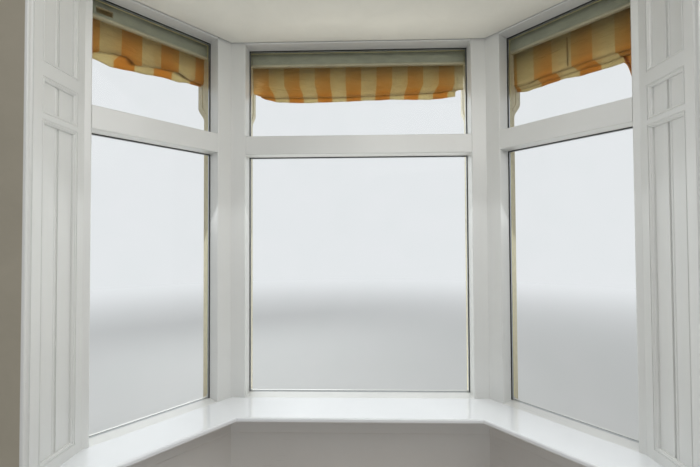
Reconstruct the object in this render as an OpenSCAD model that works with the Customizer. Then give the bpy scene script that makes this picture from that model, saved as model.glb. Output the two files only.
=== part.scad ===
/* [Plan] */
// Width of the front window between the inner corners
front_w = 1438; // [1200:1:1700]
// Length of each side window from the inner corner to the lining
side_len = 697; // [600:1:820]
// Angle between the front window and each side window
side_angle = 50; // [45:1:56]
// Depth of the panelled reveal on each side of the opening
reveal_d = 276; // [240:1:320]
// Half of the width of the whole piece of house wall
wall_half_w = 1740; // [1700:1:2000]
// Thickness of the house wall
wall_t = 280; // [240:1:300]

/* [Heights] */
// Room floor above the ground outside
floor_z = 200; // [100:1:300]
// Top of the inner sill above the room floor
sill_h = 750; // [700:1:800]
// Lower window from the inner sill to the transom
lower_h = 1366; // [1200:1:1500]
// Height of the transom's face
transom_h = 105; // [80:1:120]
// Upper window from the transom to the head rail
upper_h = 529; // [400:1:600]
// Height of each head rail
head_h = 90; // [70:1:100]
// Head rail that shows below the ceiling
head_show = 4; // [2:1:20]
// Height of the roof's edge from soffit to deck
roof_h = 140; // [120:1:180]
// House wall above the ceiling
upper_wall_h = 348; // [300:1:400]

/* [Window frames] */
// Depth of the posts and rails
frame_d = 114; // [100:1:130]
// Face of the posts beside each window
post_w = 81; // [70:1:95]
// Face of the wall posts
wall_post_w = 90; // [80:1:100]
// Part of that face behind the lining
wall_post_hidden = 63; // [50:1:70]
// Distance from the frame's inner face to the glass
glass_in = 85; // [70:1:90]
// Thickness of the double glazing
glass_t = 20; // [16:1:24]
// Depth of the glazing rebate across the frame
rebate = 14; // [12:1:18]
// How far the outer beads stand out from the glass
bead_t = 16; // [12:1:20]
// Radius of the frame's inner arrises
arris_r = 5; // [3:1:8]

/* [Masonry] */
// Distance from the frame's inner face to the brickwork
brick_in = 20; // [16:1:24]
// Thickness of the brick parapet
parapet_t = 200; // [180:1:220]
// Top of the parapet below the inner sill's top
parapet_drop = 100; // [90:1:110]
// Outer sills below the inner sill's top
outer_sill_drop = 25; // [20:1:30]
// Slope of the outer sills in degrees
outer_sill_slope = 22; // [20:1:25]
// Nose of the outer sills past the brickwork
outer_sill_nose = 32; // [20:1:40]

/* [Inner sill] */
// Depth of the sill board
sill_d = 242; // [200:1:260]
// Thickness of the sill board
sill_t = 20; // [18:1:30]
// Sill board past the room wall
sill_lap = 22; // [10:1:30]
// Height of the upper apron board under the sill board
apron_h = 170; // [120:1:190]
// Thickness of the upper apron board
apron_t = 14; // [10:1:18]
// Height of the skirting board
skirting_h = 110; // [80:1:140]
// Thickness of the skirting board
skirting_t = 16; // [14:1:20]

/* [Linings] */
// Thickness of the panelled linings
lining_t = 40; // [36:1:45]
// Far stile, beside the side window
far_stile = 36; // [30:1:50]
// Near stile with its bead and hollow, beside the room
near_stile = 65; // [60:1:80]
// Depth of the sunk panels
panel_sink = 15; // [12:1:17]
// Radius of the bead round each panel
panel_bead_r = 3; // [2:0.5:4]
// Width of the quirk outside that bead
quirk_w = 4; // [2:0.5:5]
// Radius of the quarter round inside that bead
ovolo_r = 5; // [4:0.5:7]
// Radius of the bead at the joint of a panel's two boards
joint_bead_r = 6; // [4:0.5:7]
// Width of the open groove beside that joint's bead
joint_gap = 7; // [4:0.5:8]
// Radius of the staff bead on the room corner
staff_r = 5.5; // [4:0.5:7]
// Radius of the hollow behind the staff bead
hollow_r = 8; // [6:0.5:9]

/* [Ceiling and roof] */
// Thickness of the ceiling board
ceiling_t = 18; // [12:1:25]
// Width of the shadow gap between ceiling and windows
shadow_gap = 10; // [6:1:14]
// Depth of the shadow gap up to the strip that closes it
shadow_depth = 8; // [5:1:12]
// Roof body past the frame's inner face
roof_out = 300; // [290:1:320]
// Thickness of the fascia boards
fascia_t = 20; // [18:1:25]

/* [Awnings] */
// Thickness of the awning boards
board_t = 18; // [15:1:20]
// Distance from the glass edge to the side boards
board_gap = 8; // [4:1:10]
// Narrow part of the side boards, past the frame
board_narrow = 60; // [50:1:70]
// Wide part of the side boards, past the frame
board_wide = 130; // [120:1:140]
// Height of the front board of each case
case_h = 200; // [160:1:240]
// Inner rail of the case, its height under the top board
case_rail_h = 122; // [100:1:140]
// Thickness of the inner rail
case_rail_t = 15; // [12:1:20]
// Distance from the frame to the inner rail
case_rail_gap = 36; // [30:1:45]
// Height of the half-round strip under the inner rail
strip_h = 16; // [12:1:20]
// Drop of the folded fabric under the inner rail
fabric_drop = 235; // [200:1:260]

/* [Hidden] */

paint = [0.94, 0.95, 0.94];
cream_paint = [0.93, 0.92, 0.84];
brick_red = [0.52, 0.27, 0.20];
tile_brown = [0.38, 0.20, 0.16];
glass_tint = [0.75, 0.85, 0.85, 0.35];
felt_grey = [0.25, 0.26, 0.27];
board_oak = [0.66, 0.50, 0.34];
plaster_white = [0.90, 0.90, 0.88];
stripe_orange = [0.89, 0.55, 0.28];

half_w = front_w / 2;
sin_a = sin(side_angle);
cos_a = cos(side_angle);
mitre_slope = tan(side_angle / 2);

sill_z = floor_z + sill_h;
transom_z = sill_z + lower_h;
transom_top = transom_z + transom_h;
head_z = transom_top + upper_h;
head_top = head_z + head_h;
ceiling_z = head_z + head_show;
ceiling_top = ceiling_z + ceiling_t;
parapet_z = sill_z - parapet_drop;
sill_under = sill_z - sill_t;
brick_out = brick_in + parapet_t;
wall_top = ceiling_top + upper_wall_h;

// Corner of the opening where the side window, the lining and the post meet
lining_x = half_w + side_len * cos_a;
lining_y = -side_len * sin_a;
room_y = lining_y - reveal_d;
wall_out_y = room_y + wall_t;
pier_x = lining_x + lining_t;
post_start = side_len - (wall_post_w - wall_post_hidden);
post_end = post_start + wall_post_w;
side_glass_start = post_w;
side_glass_end = post_start;

outer_sill_top = sill_z - outer_sill_drop;
outer_sill_out = brick_out + outer_sill_nose;
nose_top = outer_sill_top - (outer_sill_out - frame_d) * tan(outer_sill_slope);
drip_w = 8;
drip_depth = 5;
weather_lip = 4;

cornice_out = 22;
cornice_h = 46;
fascia_low = 28;
fascia_high = 32;
fascia_out = roof_out + fascia_t + cornice_out;
back_y = room_y - sill_lap;
plan_shift = -(fascia_out + back_y) / 2;

rail_in = frame_d + case_rail_gap;
rail_face = rail_in + case_rail_t;
case_low = head_top - board_t - case_rail_h;
case_out = frame_d + board_wide;

far = 3000;
arc_steps = 6;
eps = 0.01;

// Point of the plan's corner line, t outward from the frames' inner faces
function corner(t) = [half_w + t * mitre_slope, t];
// Point beside a side window: s along it from the corner, t outward
function side_pt(s, t) = [half_w + s * cos_a + t * sin_a, t * cos_a - s * sin_a];
// Distance along a side window at which its line at t crosses a given y
function side_run_to_y(t, y) = (t * cos_a - y) / sin_a;
function side_at_y(t, y) = side_pt(side_run_to_y(t, y), t);
function side_at_x(t, x) = side_pt((x - half_w - t * sin_a) / cos_a, t);
function reversed(points) = [for (i = [len(points) - 1:-1:0]) points[i]];
function mirrored(points) = [for (p = reversed(points)) [-p[0], p[1]]];
function both_sides(points) = concat(points, mirrored(points));
// Points of a circle's arc from one angle to another
function arc(centre, r, from, to, steps = arc_steps) =
    [for (i = [0:steps]) let (a = from + (to - from) * i / steps) centre + r * [cos(a), sin(a)]];
// Points of an S curve that runs between two points, upright at both ends
function ogee(low, high, steps = 12) =
    [for (i = [0:steps]) let (k = i / steps)
        [low[0] + (high[0] - low[0]) * (1 - cos(180 * k)) / 2, low[1] + (high[1] - low[1]) * k]];

module placed() {
    translate([0, plan_shift, 0]) children();
}

module prism(points, low, high) {
    translate([0, 0, low]) linear_extrude(high - low) polygon(points);
}

// A section, drawn as outward and up, run along the front window
module front_run(section, from, to) {
    translate([from, 0, 0]) rotate([90, 0, 90]) linear_extrude(to - from) polygon(section);
}

// Turns what is drawn for the front window's plane into the right side window's plane
module on_right_side() {
    translate([half_w, 0, 0]) rotate([0, 0, -side_angle]) children();
}

// The same section run along the right side window
module side_run(section, from, to) {
    on_right_side() front_run(section, from, to);
}

// The front's share of the plan, between the two corner lines
module front_zone(low, high, reach = 600) {
    prism(both_sides([corner(-reach), corner(reach)]), low, high);
}

module mitred_front(section) {
    intersection() {
        front_run(section, -far / 2, far / 2);
        front_zone(-far, 2 * far);
    }
}

// Outer pieces of the right side run from the corner line to the house wall
module mitred_side(section) {
    points = [
        corner(-600), corner(far), [far, wall_out_y], side_at_y(slant_t, wall_out_y),
        side_pt(post_end, 0), [lining_x, lining_y], [lining_x, -far]
    ];
    intersection() {
        side_run(section, -far / 2, far);
        prism(points, -far, 2 * far);
    }
}

// Where the end face of the wall post meets the wall's outer face
slant_t = (wall_out_y + post_end * sin_a) / cos_a;

// The plaster runs on past the pier, over the end of the lining and up to its staff bead
nib_x = lining_x + 2 * staff_r;
nib_t = 12;

module right_pier() {
    points = [
        [pier_x, room_y], [wall_half_w, room_y], [wall_half_w, wall_out_y],
        [side_pt(post_end, slant_t)[0], wall_out_y], side_pt(post_end, 0), side_at_x(0, pier_x)
    ];
    nib = [[nib_x, room_y], [pier_x, room_y], [pier_x, room_y + nib_t], [nib_x, room_y + nib_t]];
    color(brick_red) placed() {
        prism(points, 0, ceiling_top);
        prism(nib, floor_z, ceiling_z);
    }
}

module left_pier() {
    mirror([1, 0, 0]) right_pier();
}

// The wall above is notched for the heads of the wall posts
module upper_wall() {
    points = both_sides([[wall_half_w, room_y], [wall_half_w, wall_out_y]]);
    color(brick_red) placed() difference() {
        prism(points, ceiling_top, wall_top);
        prism(wall_post_plan(), parapet_z, head_top);
        prism(mirrored(wall_post_plan()), parapet_z, head_top);
    }
}

module front_parapet() {
    color(brick_red) placed() prism(both_sides([corner(brick_in), corner(brick_out)]), 0, parapet_z);
}

module right_parapet() {
    points = [
        corner(brick_in), side_pt(post_end, brick_in), side_pt(post_end, slant_t),
        side_at_y(brick_out, wall_out_y), corner(brick_out)
    ];
    color(brick_red) placed() prism(points, 0, parapet_z);
}

module left_parapet() {
    mirror([1, 0, 0]) right_parapet();
}

module floor() {
    points = both_sides([
        [pier_x, room_y], side_at_x(0, pier_x), side_pt(post_end, 0), side_pt(post_end, brick_in),
        corner(brick_in)
    ]);
    color(board_oak) placed() prism(points, 0, floor_z);
}

// Posts stand on the parapet, with a rebate beside each window for the glass
module right_corner_post() {
    x0 = half_w - post_w;
    points = concat(
        arc([x0 + arris_r, arris_r], arris_r, 180, 270),
        [corner(0)],
        [for (p = arc([post_w - arris_r, arris_r], arris_r, 270, 360)) side_pt(p[0], p[1])],
        [side_pt(post_w, glass_in), side_pt(post_w - rebate, glass_in)],
        [side_pt(post_w - rebate, frame_d), corner(frame_d)],
        [[x0 + rebate, frame_d], [x0 + rebate, glass_in], [x0, glass_in]]
    );
    color(paint) placed() prism(points, parapet_z, head_top);
}

module left_corner_post() {
    mirror([1, 0, 0]) right_corner_post();
}

function wall_post_plan() = let (
    rounded = arc([post_start + arris_r, arris_r], arris_r, 180, 270)
) concat(
    [for (p = rounded) side_pt(p[0], p[1])],
    [side_pt(post_end, 0), side_pt(post_end, frame_d)],
    [side_pt(post_start + rebate, frame_d), side_pt(post_start + rebate, glass_in)],
    [side_pt(post_start, glass_in)]
);

module right_wall_post() {
    color(paint) placed() prism(wall_post_plan(), parapet_z, head_top);
}

module left_wall_post() {
    mirror([1, 0, 0]) right_wall_post();
}

// Sections of the rails, drawn as outward and up
function bottom_rail_section() = concat(
    [[0, parapet_z], [frame_d, parapet_z], [frame_d, outer_sill_top + weather_lip]],
    [[glass_in, sill_z - rebate], [glass_in, sill_z], [0, sill_z]]
);
function transom_section() = concat(
    arc([arris_r, transom_z + arris_r], arris_r, 180, 270),
    [[glass_in, transom_z], [glass_in, transom_z + rebate], [frame_d, transom_z + rebate]],
    [[frame_d, transom_top - rebate], [glass_in, transom_top - rebate], [glass_in, transom_top]],
    arc([arris_r, transom_top - arris_r], arris_r, 90, 180)
);
function head_section() = concat(
    arc([arris_r, head_z + arris_r], arris_r, 180, 270),
    [[glass_in, head_z], [glass_in, head_z + rebate], [frame_d, head_z + rebate]],
    [[frame_d, head_top], [0, head_top]]
);

// A rail fits between two posts and fills their rebates outside the glass
module rail(section, from, to) {
    intersection() {
        front_run(section, from - rebate, to + rebate);
        union() {
            translate([from, -eps, 0]) cube([to - from, frame_d + 1, 2 * far]);
            translate([from - rebate, glass_in, 0]) cube([to - from + 2 * rebate, frame_d, 2 * far]);
        }
    }
}

module front_rail(section) {
    color(paint) placed() rail(section, post_w - half_w, half_w - post_w);
}

module right_rail(section) {
    color(paint) placed() on_right_side()
        rail(section, side_glass_start, side_glass_end);
}

module front_bottom_rail() {
    front_rail(bottom_rail_section());
}

module right_bottom_rail() {
    right_rail(bottom_rail_section());
}

module left_bottom_rail() {
    mirror([1, 0, 0]) right_bottom_rail();
}

module front_transom() {
    front_rail(transom_section());
}

module right_transom() {
    right_rail(transom_section());
}

module left_transom() {
    mirror([1, 0, 0]) right_transom();
}

module front_head_rail() {
    front_rail(head_section());
}

module right_head_rail() {
    right_rail(head_section());
}

module left_head_rail() {
    mirror([1, 0, 0]) right_head_rail();
}

// Double glazing of one window, the lower and the upper pane, with play in the rebates
glass_play = 2;

module panes(from, to) {
    edge = rebate - glass_play;
    for (z = [[sill_z, transom_z], [transom_top, head_z]])
        translate([from - edge, glass_in, z[0] - edge])
            cube([to - from + 2 * edge, glass_t, z[1] - z[0] + 2 * edge]);
}

module front_panes() {
    color(glass_tint) placed() panes(post_w - half_w, half_w - post_w);
}

module right_panes() {
    color(glass_tint) placed() on_right_side()
        panes(side_glass_start, side_glass_end);
}

module left_panes() {
    mirror([1, 0, 0]) right_panes();
}

// Outer beads of one window, a closed frame round each pane
module beads(from, to) {
    for (z = [[sill_z, transom_z], [transom_top, head_z]])
        difference() {
            translate([from - rebate, glass_in + glass_t, z[0] - rebate])
                cube([to - from + 2 * rebate, bead_t, z[1] - z[0] + 2 * rebate]);
            translate([from, glass_in, z[0]])
                cube([to - from, 2 * frame_d, z[1] - z[0]]);
        }
}

module right_beads() {
    on_right_side() beads(side_glass_start, side_glass_end);
}

module glazing_beads() {
    color(paint) placed() {
        beads(post_w - half_w, half_w - post_w);
        right_beads();
        mirror([1, 0, 0]) right_beads();
    }
}

// Sill boards lie on the apron boards, mitred at the corners of the bay
sill_round = 8;
under_round = 3;

function sill_section() = concat(
    [[0, sill_under], [0, sill_z]],
    arc([sill_round - sill_d, sill_z - sill_round], sill_round, 90, 180),
    arc([under_round - sill_d, sill_under + under_round], under_round, 180, 270, 3)
);

module front_sill_board() {
    color(paint) placed() mitred_front(sill_section());
}

// The side boards end square, a little past the room wall
module right_sill_board() {
    points = [
        corner(0), corner(-sill_d - 1), side_at_y(-sill_d - 1, back_y),
        [lining_x, back_y], [lining_x, lining_y]
    ];
    color(paint) placed() intersection() {
        side_run(sill_section(), -far / 2, far / 2);
        prism(points, sill_under, sill_z);
    }
}

module left_sill_board() {
    mirror([1, 0, 0]) right_sill_board();
}

// Boarding inside the parapet: skirting, plain board and proud upper board
skirting_round = 14;
apron_round = 5;

function apron_section() = let (
    skirt = floor_z + skirting_h,
    board = sill_under - apron_h
) concat(
    [[brick_in, floor_z], [-skirting_t, floor_z]],
    arc([skirting_round - skirting_t, skirt - skirting_round], skirting_round, 180, 90),
    [[0, skirt], [0, board]],
    arc([apron_round - apron_t, board + apron_round], apron_round, 270, 180),
    [[-apron_t, sill_under], [0, sill_under], [0, parapet_z], [brick_in, parapet_z]]
);

module front_apron() {
    color(paint) placed() mitred_front(apron_section());
}

module right_apron() {
    color(paint) placed() mitred_side(apron_section());
}

module left_apron() {
    mirror([1, 0, 0]) right_apron();
}

// Outer sills slope to a nose with a drip groove under it
function outer_sill_section() = [
    [frame_d, parapet_z], [brick_out + drip_w, parapet_z],
    [brick_out + drip_w, parapet_z + drip_depth], [brick_out + 2 * drip_w, parapet_z + drip_depth],
    [brick_out + 2 * drip_w, parapet_z], [outer_sill_out, parapet_z],
    [outer_sill_out, nose_top], [frame_d, outer_sill_top]
];

module front_outer_sill() {
    color(tile_brown) placed() mitred_front(outer_sill_section());
}

module right_outer_sill() {
    color(tile_brown) placed() mitred_side(outer_sill_section());
}

module left_outer_sill() {
    mirror([1, 0, 0]) right_outer_sill();
}

// Rails of the linings, from the floor up: plinth, sill, bar, cross rail and top
plinth_rail = 110;
under_sill_rail = 70;
over_sill_rail = 42;
bar_z = transom_z - 32;
bar_h = 19;
cross_z = transom_top + 24;
cross_h = 52;
top_rail = 54;

// Panels between those rails, each as its low and high edge
panel_spans = [
    [floor_z + plinth_rail, sill_under - under_sill_rail],
    [sill_z + over_sill_rail, bar_z],
    [bar_z + bar_h, cross_z],
    [cross_z + cross_h, ceiling_z - top_rail]
];
panel_from = room_y + near_stile;
panel_to = lining_y - far_stile;
panel_w = panel_to - panel_from;
joint_from = (panel_from + panel_to) / 2 - 2 * joint_bead_r;
moulding_w = quirk_w + 2 * panel_bead_r + ovolo_r;
moulding_root = panel_sink + joint_bead_r;

// Moulding round a panel, drawn as inset from the opening's edge and depth below the face:
// a quirk, a bead and a quarter round that drops to the panel
function moulding_section() = concat(
    [[-1, moulding_root], [-1, panel_bead_r]],
    arc([quirk_w + panel_bead_r, panel_bead_r], panel_bead_r, 180, 360),
    arc([moulding_w - ovolo_r, panel_bead_r + 1 + ovolo_r], ovolo_r, 270, 360),
    [[moulding_w, moulding_root]]
);

// Four lengths of moulding, mitred where they meet, in the plane of an opening of this size
module mitred_frame(size) {
    for (side = [0:3]) {
        run = size[side % 2] / 2;
        edge = size[(side + 1) % 2] / 2;
        rotate([0, 0, 90 * side]) intersection() {
            translate([-run - 1, -edge, 0]) rotate([90, 0, 90])
                linear_extrude(2 * run + 2) polygon(moulding_section());
            linear_extrude(lining_t) polygon([
                [-run - 1, -edge - 1], [run + 1, -edge - 1],
                [run - moulding_w, moulding_w - edge], [moulding_w - run, moulding_w - edge]
            ]);
        }
    }
}

// Frames the opening of one panel on the lining's face, which looks along the opening's depth
module on_panel(span) {
    translate([lining_x, (panel_from + panel_to) / 2, (span[0] + span[1]) / 2])
        rotate([90, 0, 90]) children();
}

// Plan of the lining's room edge, drawn as depth and distance from the room: bead and hollow
function room_edge() = concat(
    arc([staff_r, staff_r], staff_r, 270, 90, 2 * arc_steps),
    [[hollow_r, 2 * staff_r]],
    arc([0, 2 * staff_r + hollow_r], hollow_r, 0, 90)
);

module right_lining() {
    board = concat(
        [for (p = room_edge()) [lining_x + p[0], room_y + p[1]]],
        [[lining_x, lining_y], side_at_x(0, pier_x)],
        [[pier_x, room_y + nib_t], [nib_x, room_y + nib_t], [nib_x, room_y]]
    );
    bead_y = joint_from + joint_bead_r;
    color(paint) placed() {
        difference() {
            prism(board, floor_z, ceiling_z);
            for (span = panel_spans) {
                translate([lining_x - 1, panel_from, span[0]])
                    cube([panel_sink + 1, panel_w, span[1] - span[0]]);
                translate([lining_x, joint_from - quirk_w / 2, span[0]])
                    cube([moulding_root, 2 * joint_bead_r + quirk_w / 2 + joint_gap, span[1] - span[0]]);
            }
        }
        for (span = panel_spans) {
            on_panel(span) mitred_frame([panel_w, span[1] - span[0]]);
            translate([lining_x + moulding_root, bead_y, span[0]])
                cylinder(r = joint_bead_r, h = span[1] - span[0], $fn = 32);
        }
    }
}

module left_lining() {
    mirror([1, 0, 0]) right_lining();
}

module ceiling() {
    points = both_sides([[pier_x, room_y], side_at_x(-shadow_gap, pier_x), corner(-shadow_gap)]);
    color(plaster_white) placed() prism(points, ceiling_z, ceiling_top);
}

// Strip that closes the shadow gap between the ceiling and the head rails
module ceiling_trim() {
    outer = both_sides([side_at_x(0, pier_x), corner(0)]);
    inner = both_sides([side_at_x(-shadow_gap, pier_x), corner(-shadow_gap)]);
    color(plaster_white) placed()
        prism(concat(outer, reversed(inner)), ceiling_z + shadow_depth, ceiling_top);
}

module roof() {
    points = both_sides([side_at_y(roof_out, wall_out_y), corner(roof_out)]);
    color(felt_grey) placed() prism(points, head_top, head_top + roof_h);
}

// Fascia with a cornice moulding under its metal-capped top
cap_h = 14;
lip_w = 12;
lip_h = 8;

function fascia_face(low, high, face = roof_out + fascia_t) = concat(
    [[face, low]],
    ogee([face, high - cornice_h - cap_h], [face + cornice_out, high - cap_h], 10),
    [[face + cornice_out, high]]
);

// Back of the fascia, which laps over the roof's edge under its cap
function fascia_back(low, high) = [
    [roof_out, low - 1], [roof_out, high - fascia_high],
    [roof_out - lip_w, high - lip_h], [roof_out - lip_w, high + 1]
];

// All that lies inward of a face, drawn from its foot to its top, on the bay's three sides
module inward_of(face) {
    section = concat(face, [[-far, face[len(face) - 1][1]], [-far, face[0][1]]]);
    intersection() {
        front_run(section, -far, far);
        side_run(section, -far, far);
        mirror([1, 0, 0]) side_run(section, -far, far);
    }
}

module fascia() {
    low = head_top - fascia_low;
    high = head_top + roof_h + fascia_high;
    color(paint) placed() intersection() {
        difference() {
            inward_of(fascia_face(low, high));
            inward_of(fascia_back(low, high));
        }
        prism([[-far, wall_out_y], [far, wall_out_y], [far, far], [-far, far]], low - 1, high + 1);
    }
}

// Awning side boards rest on the outer sill and widen in an S curve under the case
flare_low = 428;
flare_high = 328;
guide_edge = 12;
guide_w = 40;
guide_t = 3;

// Outer edge of a side board, or a line inside it, from the outer sill up to the top
function board_edge(inside) = let (
    narrow = board_narrow - inside,
    wide = board_wide - inside
) concat(
    [[frame_d + narrow, outer_sill_top - narrow * tan(outer_sill_slope)]],
    ogee([frame_d + narrow, head_z - flare_low], [frame_d + wide, head_z - flare_high]),
    [[frame_d + wide, head_top]]
);

function side_board_outline() =
    concat([[frame_d, outer_sill_top]], board_edge(0), [[frame_d, head_top]]);

// Raised guide strip on a side board's inner face, set in from the board's edge
function guide_outline() =
    concat(board_edge(guide_edge), reversed(board_edge(guide_edge + guide_w)));

// Front board with a rounded lower edge and a groove above it
edge_round = 8;
groove_up = 26;
groove_w = 5;

function front_board_section() = let (
    low = head_top - case_h,
    face = case_out + board_t
) concat(
    [[case_out, low]],
    arc([face - edge_round, low + edge_round], edge_round, 270, 360),
    [[face, low + groove_up], [face - groove_w, low + groove_up + 1]],
    [[face - groove_w, low + groove_up + groove_w], [face, low + groove_up + groove_w]],
    [[face, head_top], [case_out, head_top]]
);

// Inner rail with the half-round strip that holds the cloth under it
function inner_rail_section() = let (mid = case_low - strip_h / 2) concat(
    [[rail_in, head_top - board_t], [rail_in, case_low]],
    arc([rail_in, mid], strip_h / 2, 90, 270),
    [[rail_face, case_low - strip_h], [rail_face, head_top - board_t]]
);

// Awning case between two side boards: top board, inner rail and front board
module awning_box(from, to) {
    left = from - board_gap;
    right = to + board_gap;
    for (x = [left - board_t, right])
        front_run(side_board_outline(), x, x + board_t);
    front_run(guide_outline(), left - 1, left + guide_t);
    front_run(guide_outline(), right - guide_t, right + 1);
    translate([left, frame_d, head_top - board_t])
        cube([right - left, board_wide, board_t]);
    front_run(inner_rail_section(), left, right);
    front_run(front_board_section(), left - board_t, right + board_t);
}

module front_awning_box() {
    color(cream_paint) placed() awning_box(post_w - half_w, half_w - post_w);
}

module right_awning_box() {
    color(cream_paint) placed() on_right_side() awning_box(side_glass_start, side_glass_end);
}

// Only the left awning has a slot for its pull strap, near the wall end of the inner rail
strap_from = 550;
strap_w = 71;
strap_up = 12;
strap_h = 30;

module left_awning_box() {
    color(cream_paint) placed() mirror([1, 0, 0]) on_right_side() difference() {
        awning_box(side_glass_start, side_glass_end);
        translate([strap_from, rail_in - 1, case_low + strap_up])
            cube([strap_w, case_rail_t + 2, strap_h]);
    }
}

// Section of the folded fabric, which hangs behind the inner rail down to its rounded hem
fabric_lap = 10;
fabric_top = 12;
fabric_belly = 66;
fabric_back = 75;
fabric_side = 4;
hem_r = 20;

function fabric_section() = let (low = case_low - fabric_drop) concat(
    arc([rail_face + fabric_belly - hem_r, low + hem_r], hem_r, 200, 360),
    ogee([rail_face + fabric_belly, low + hem_r], [rail_face + fabric_top, case_low + fabric_lap]),
    [[rail_face, case_low + fabric_lap], [rail_face, low + fabric_back]]
);

module awning_fabric(from, to) {
    front_run(fabric_section(), from - fabric_side, to + fabric_side);
}

module front_awning_fabric() {
    color(stripe_orange) placed() awning_fabric(post_w - half_w, half_w - post_w);
}

module right_awning_fabric() {
    color(stripe_orange) placed() on_right_side()
        awning_fabric(side_glass_start, side_glass_end);
}

module left_awning_fabric() {
    mirror([1, 0, 0]) right_awning_fabric();
}

left_pier();
right_pier();
upper_wall();
front_parapet();
left_parapet();
right_parapet();
floor();
left_corner_post();
right_corner_post();
left_wall_post();
right_wall_post();
front_bottom_rail();
left_bottom_rail();
right_bottom_rail();
front_transom();
left_transom();
right_transom();
front_head_rail();
left_head_rail();
right_head_rail();
front_panes();
left_panes();
right_panes();
glazing_beads();
front_sill_board();
left_sill_board();
right_sill_board();
front_apron();
left_apron();
right_apron();
front_outer_sill();
left_outer_sill();
right_outer_sill();
left_lining();
right_lining();
ceiling();
ceiling_trim();
roof();
fascia();
front_awning_box();
left_awning_box();
right_awning_box();
front_awning_fabric();
left_awning_fabric();
right_awning_fabric();
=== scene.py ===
"""Finishes, brickwork, glazing and awning cloth of a canted bay window, laid out as an add-on."""

import math

import bmesh
import bpy
from bpy.props import BoolProperty, FloatProperty, FloatVectorProperty, IntProperty, PointerProperty
from mathutils import Matrix, Vector, noise


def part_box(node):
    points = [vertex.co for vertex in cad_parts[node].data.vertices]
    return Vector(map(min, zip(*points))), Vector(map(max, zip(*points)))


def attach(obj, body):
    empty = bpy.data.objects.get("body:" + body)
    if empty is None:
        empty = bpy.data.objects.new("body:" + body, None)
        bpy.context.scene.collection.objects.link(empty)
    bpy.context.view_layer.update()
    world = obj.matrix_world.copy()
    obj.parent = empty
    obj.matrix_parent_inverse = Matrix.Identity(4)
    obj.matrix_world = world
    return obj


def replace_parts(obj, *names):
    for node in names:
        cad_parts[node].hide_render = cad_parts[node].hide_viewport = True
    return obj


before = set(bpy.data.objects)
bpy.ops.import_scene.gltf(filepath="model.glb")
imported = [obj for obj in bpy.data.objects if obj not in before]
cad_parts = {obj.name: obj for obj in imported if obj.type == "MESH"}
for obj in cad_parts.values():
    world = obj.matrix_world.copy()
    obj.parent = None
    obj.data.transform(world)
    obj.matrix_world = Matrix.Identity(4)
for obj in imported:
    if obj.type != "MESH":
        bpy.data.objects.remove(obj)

bl_info = {
    "name": "Bay Window Finishes",
    "version": (1, 0, 0),
    "blender": (4, 5, 0),
    "location": "View3D > Sidebar > Bay Window",
    "description": "Brickwork, paint, glazing and awning cloth for a canted bay window",
    "category": "Object",
}

BODY = "root"

# The frame's own sizes, in metres. Outward distances start at the windows' inner faces.
SIDE_ANGLE = math.radians(50)
FRAME_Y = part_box("front_bottom_rail")[0].y
HALF_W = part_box("front_sill_board")[1].x
SILL_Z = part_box("front_sill_board")[1].z
HEAD_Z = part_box("front_head_rail")[0].z
SOFFIT_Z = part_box("front_head_rail")[1].z
TRANSOM_LOW, TRANSOM_HIGH = (corner.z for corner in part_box("front_transom"))
FRAME_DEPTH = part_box("front_transom")[1].y - FRAME_Y
PANE_IN, PANE_OUT = (corner.y - FRAME_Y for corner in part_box("front_panes"))
PANE_LAP = SILL_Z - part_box("front_panes")[0].z
BRICK_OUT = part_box("front_parapet")[1].y - FRAME_Y
PARAPET_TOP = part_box("front_parapet")[1].z
ROOM_Y, WALL_OUT = (corner.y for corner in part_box("right_pier"))
WALL_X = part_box("right_pier")[1].x
WALL_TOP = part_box("upper_wall")[1].z
FLOOR_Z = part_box("floor")[1].z
ROOF_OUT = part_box("roof")[1].y - FRAME_Y
ROOF_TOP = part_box("roof")[1].z
FASCIA_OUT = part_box("fascia")[1].y - FRAME_Y
FASCIA_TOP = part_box("fascia")[1].z
SILL_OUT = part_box("front_outer_sill")[1].y - FRAME_Y
SILL_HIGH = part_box("front_outer_sill")[1].z
CASE_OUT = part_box("front_awning_box")[1].y - FRAME_Y
# The outer sills' slope, and where the awnings' inner rails stand and end at their lower edge
SILL_SLOPE = math.radians(22)
CASE_IN = 0.150
RAIL_LOW = 2.884


class Facet:
    """One window's own axes: along it, outward and up, with its daylight from start to end."""

    def __init__(self, name, corner_x, turn):
        self.name = name
        self.turn = turn
        self.matrix = Matrix.Translation((corner_x, FRAME_Y, 0)) @ Matrix.Rotation(turn, 4, "Z")
        back = self.matrix.inverted()
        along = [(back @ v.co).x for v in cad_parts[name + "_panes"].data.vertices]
        self.start = min(along) + PANE_LAP
        self.end = max(along) - PANE_LAP


FACETS = [
    Facet("front", 0, 0),
    Facet("left", -HALF_W, SIDE_ANGLE),
    Facet("right", HALF_W, -SIDE_ANGLE),
]


def colour_choice(name, description, default):
    """A colour that a user may change, linear."""
    return FloatVectorProperty(
        name=name, description=description, subtype="COLOR", size=3, min=0, max=1, default=default)


def length_choice(name, description, low, high, default):
    """A length that a user may change, between its limits."""
    return FloatProperty(
        name=name, description=description, unit="LENGTH", min=low, max=high, default=default)


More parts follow.
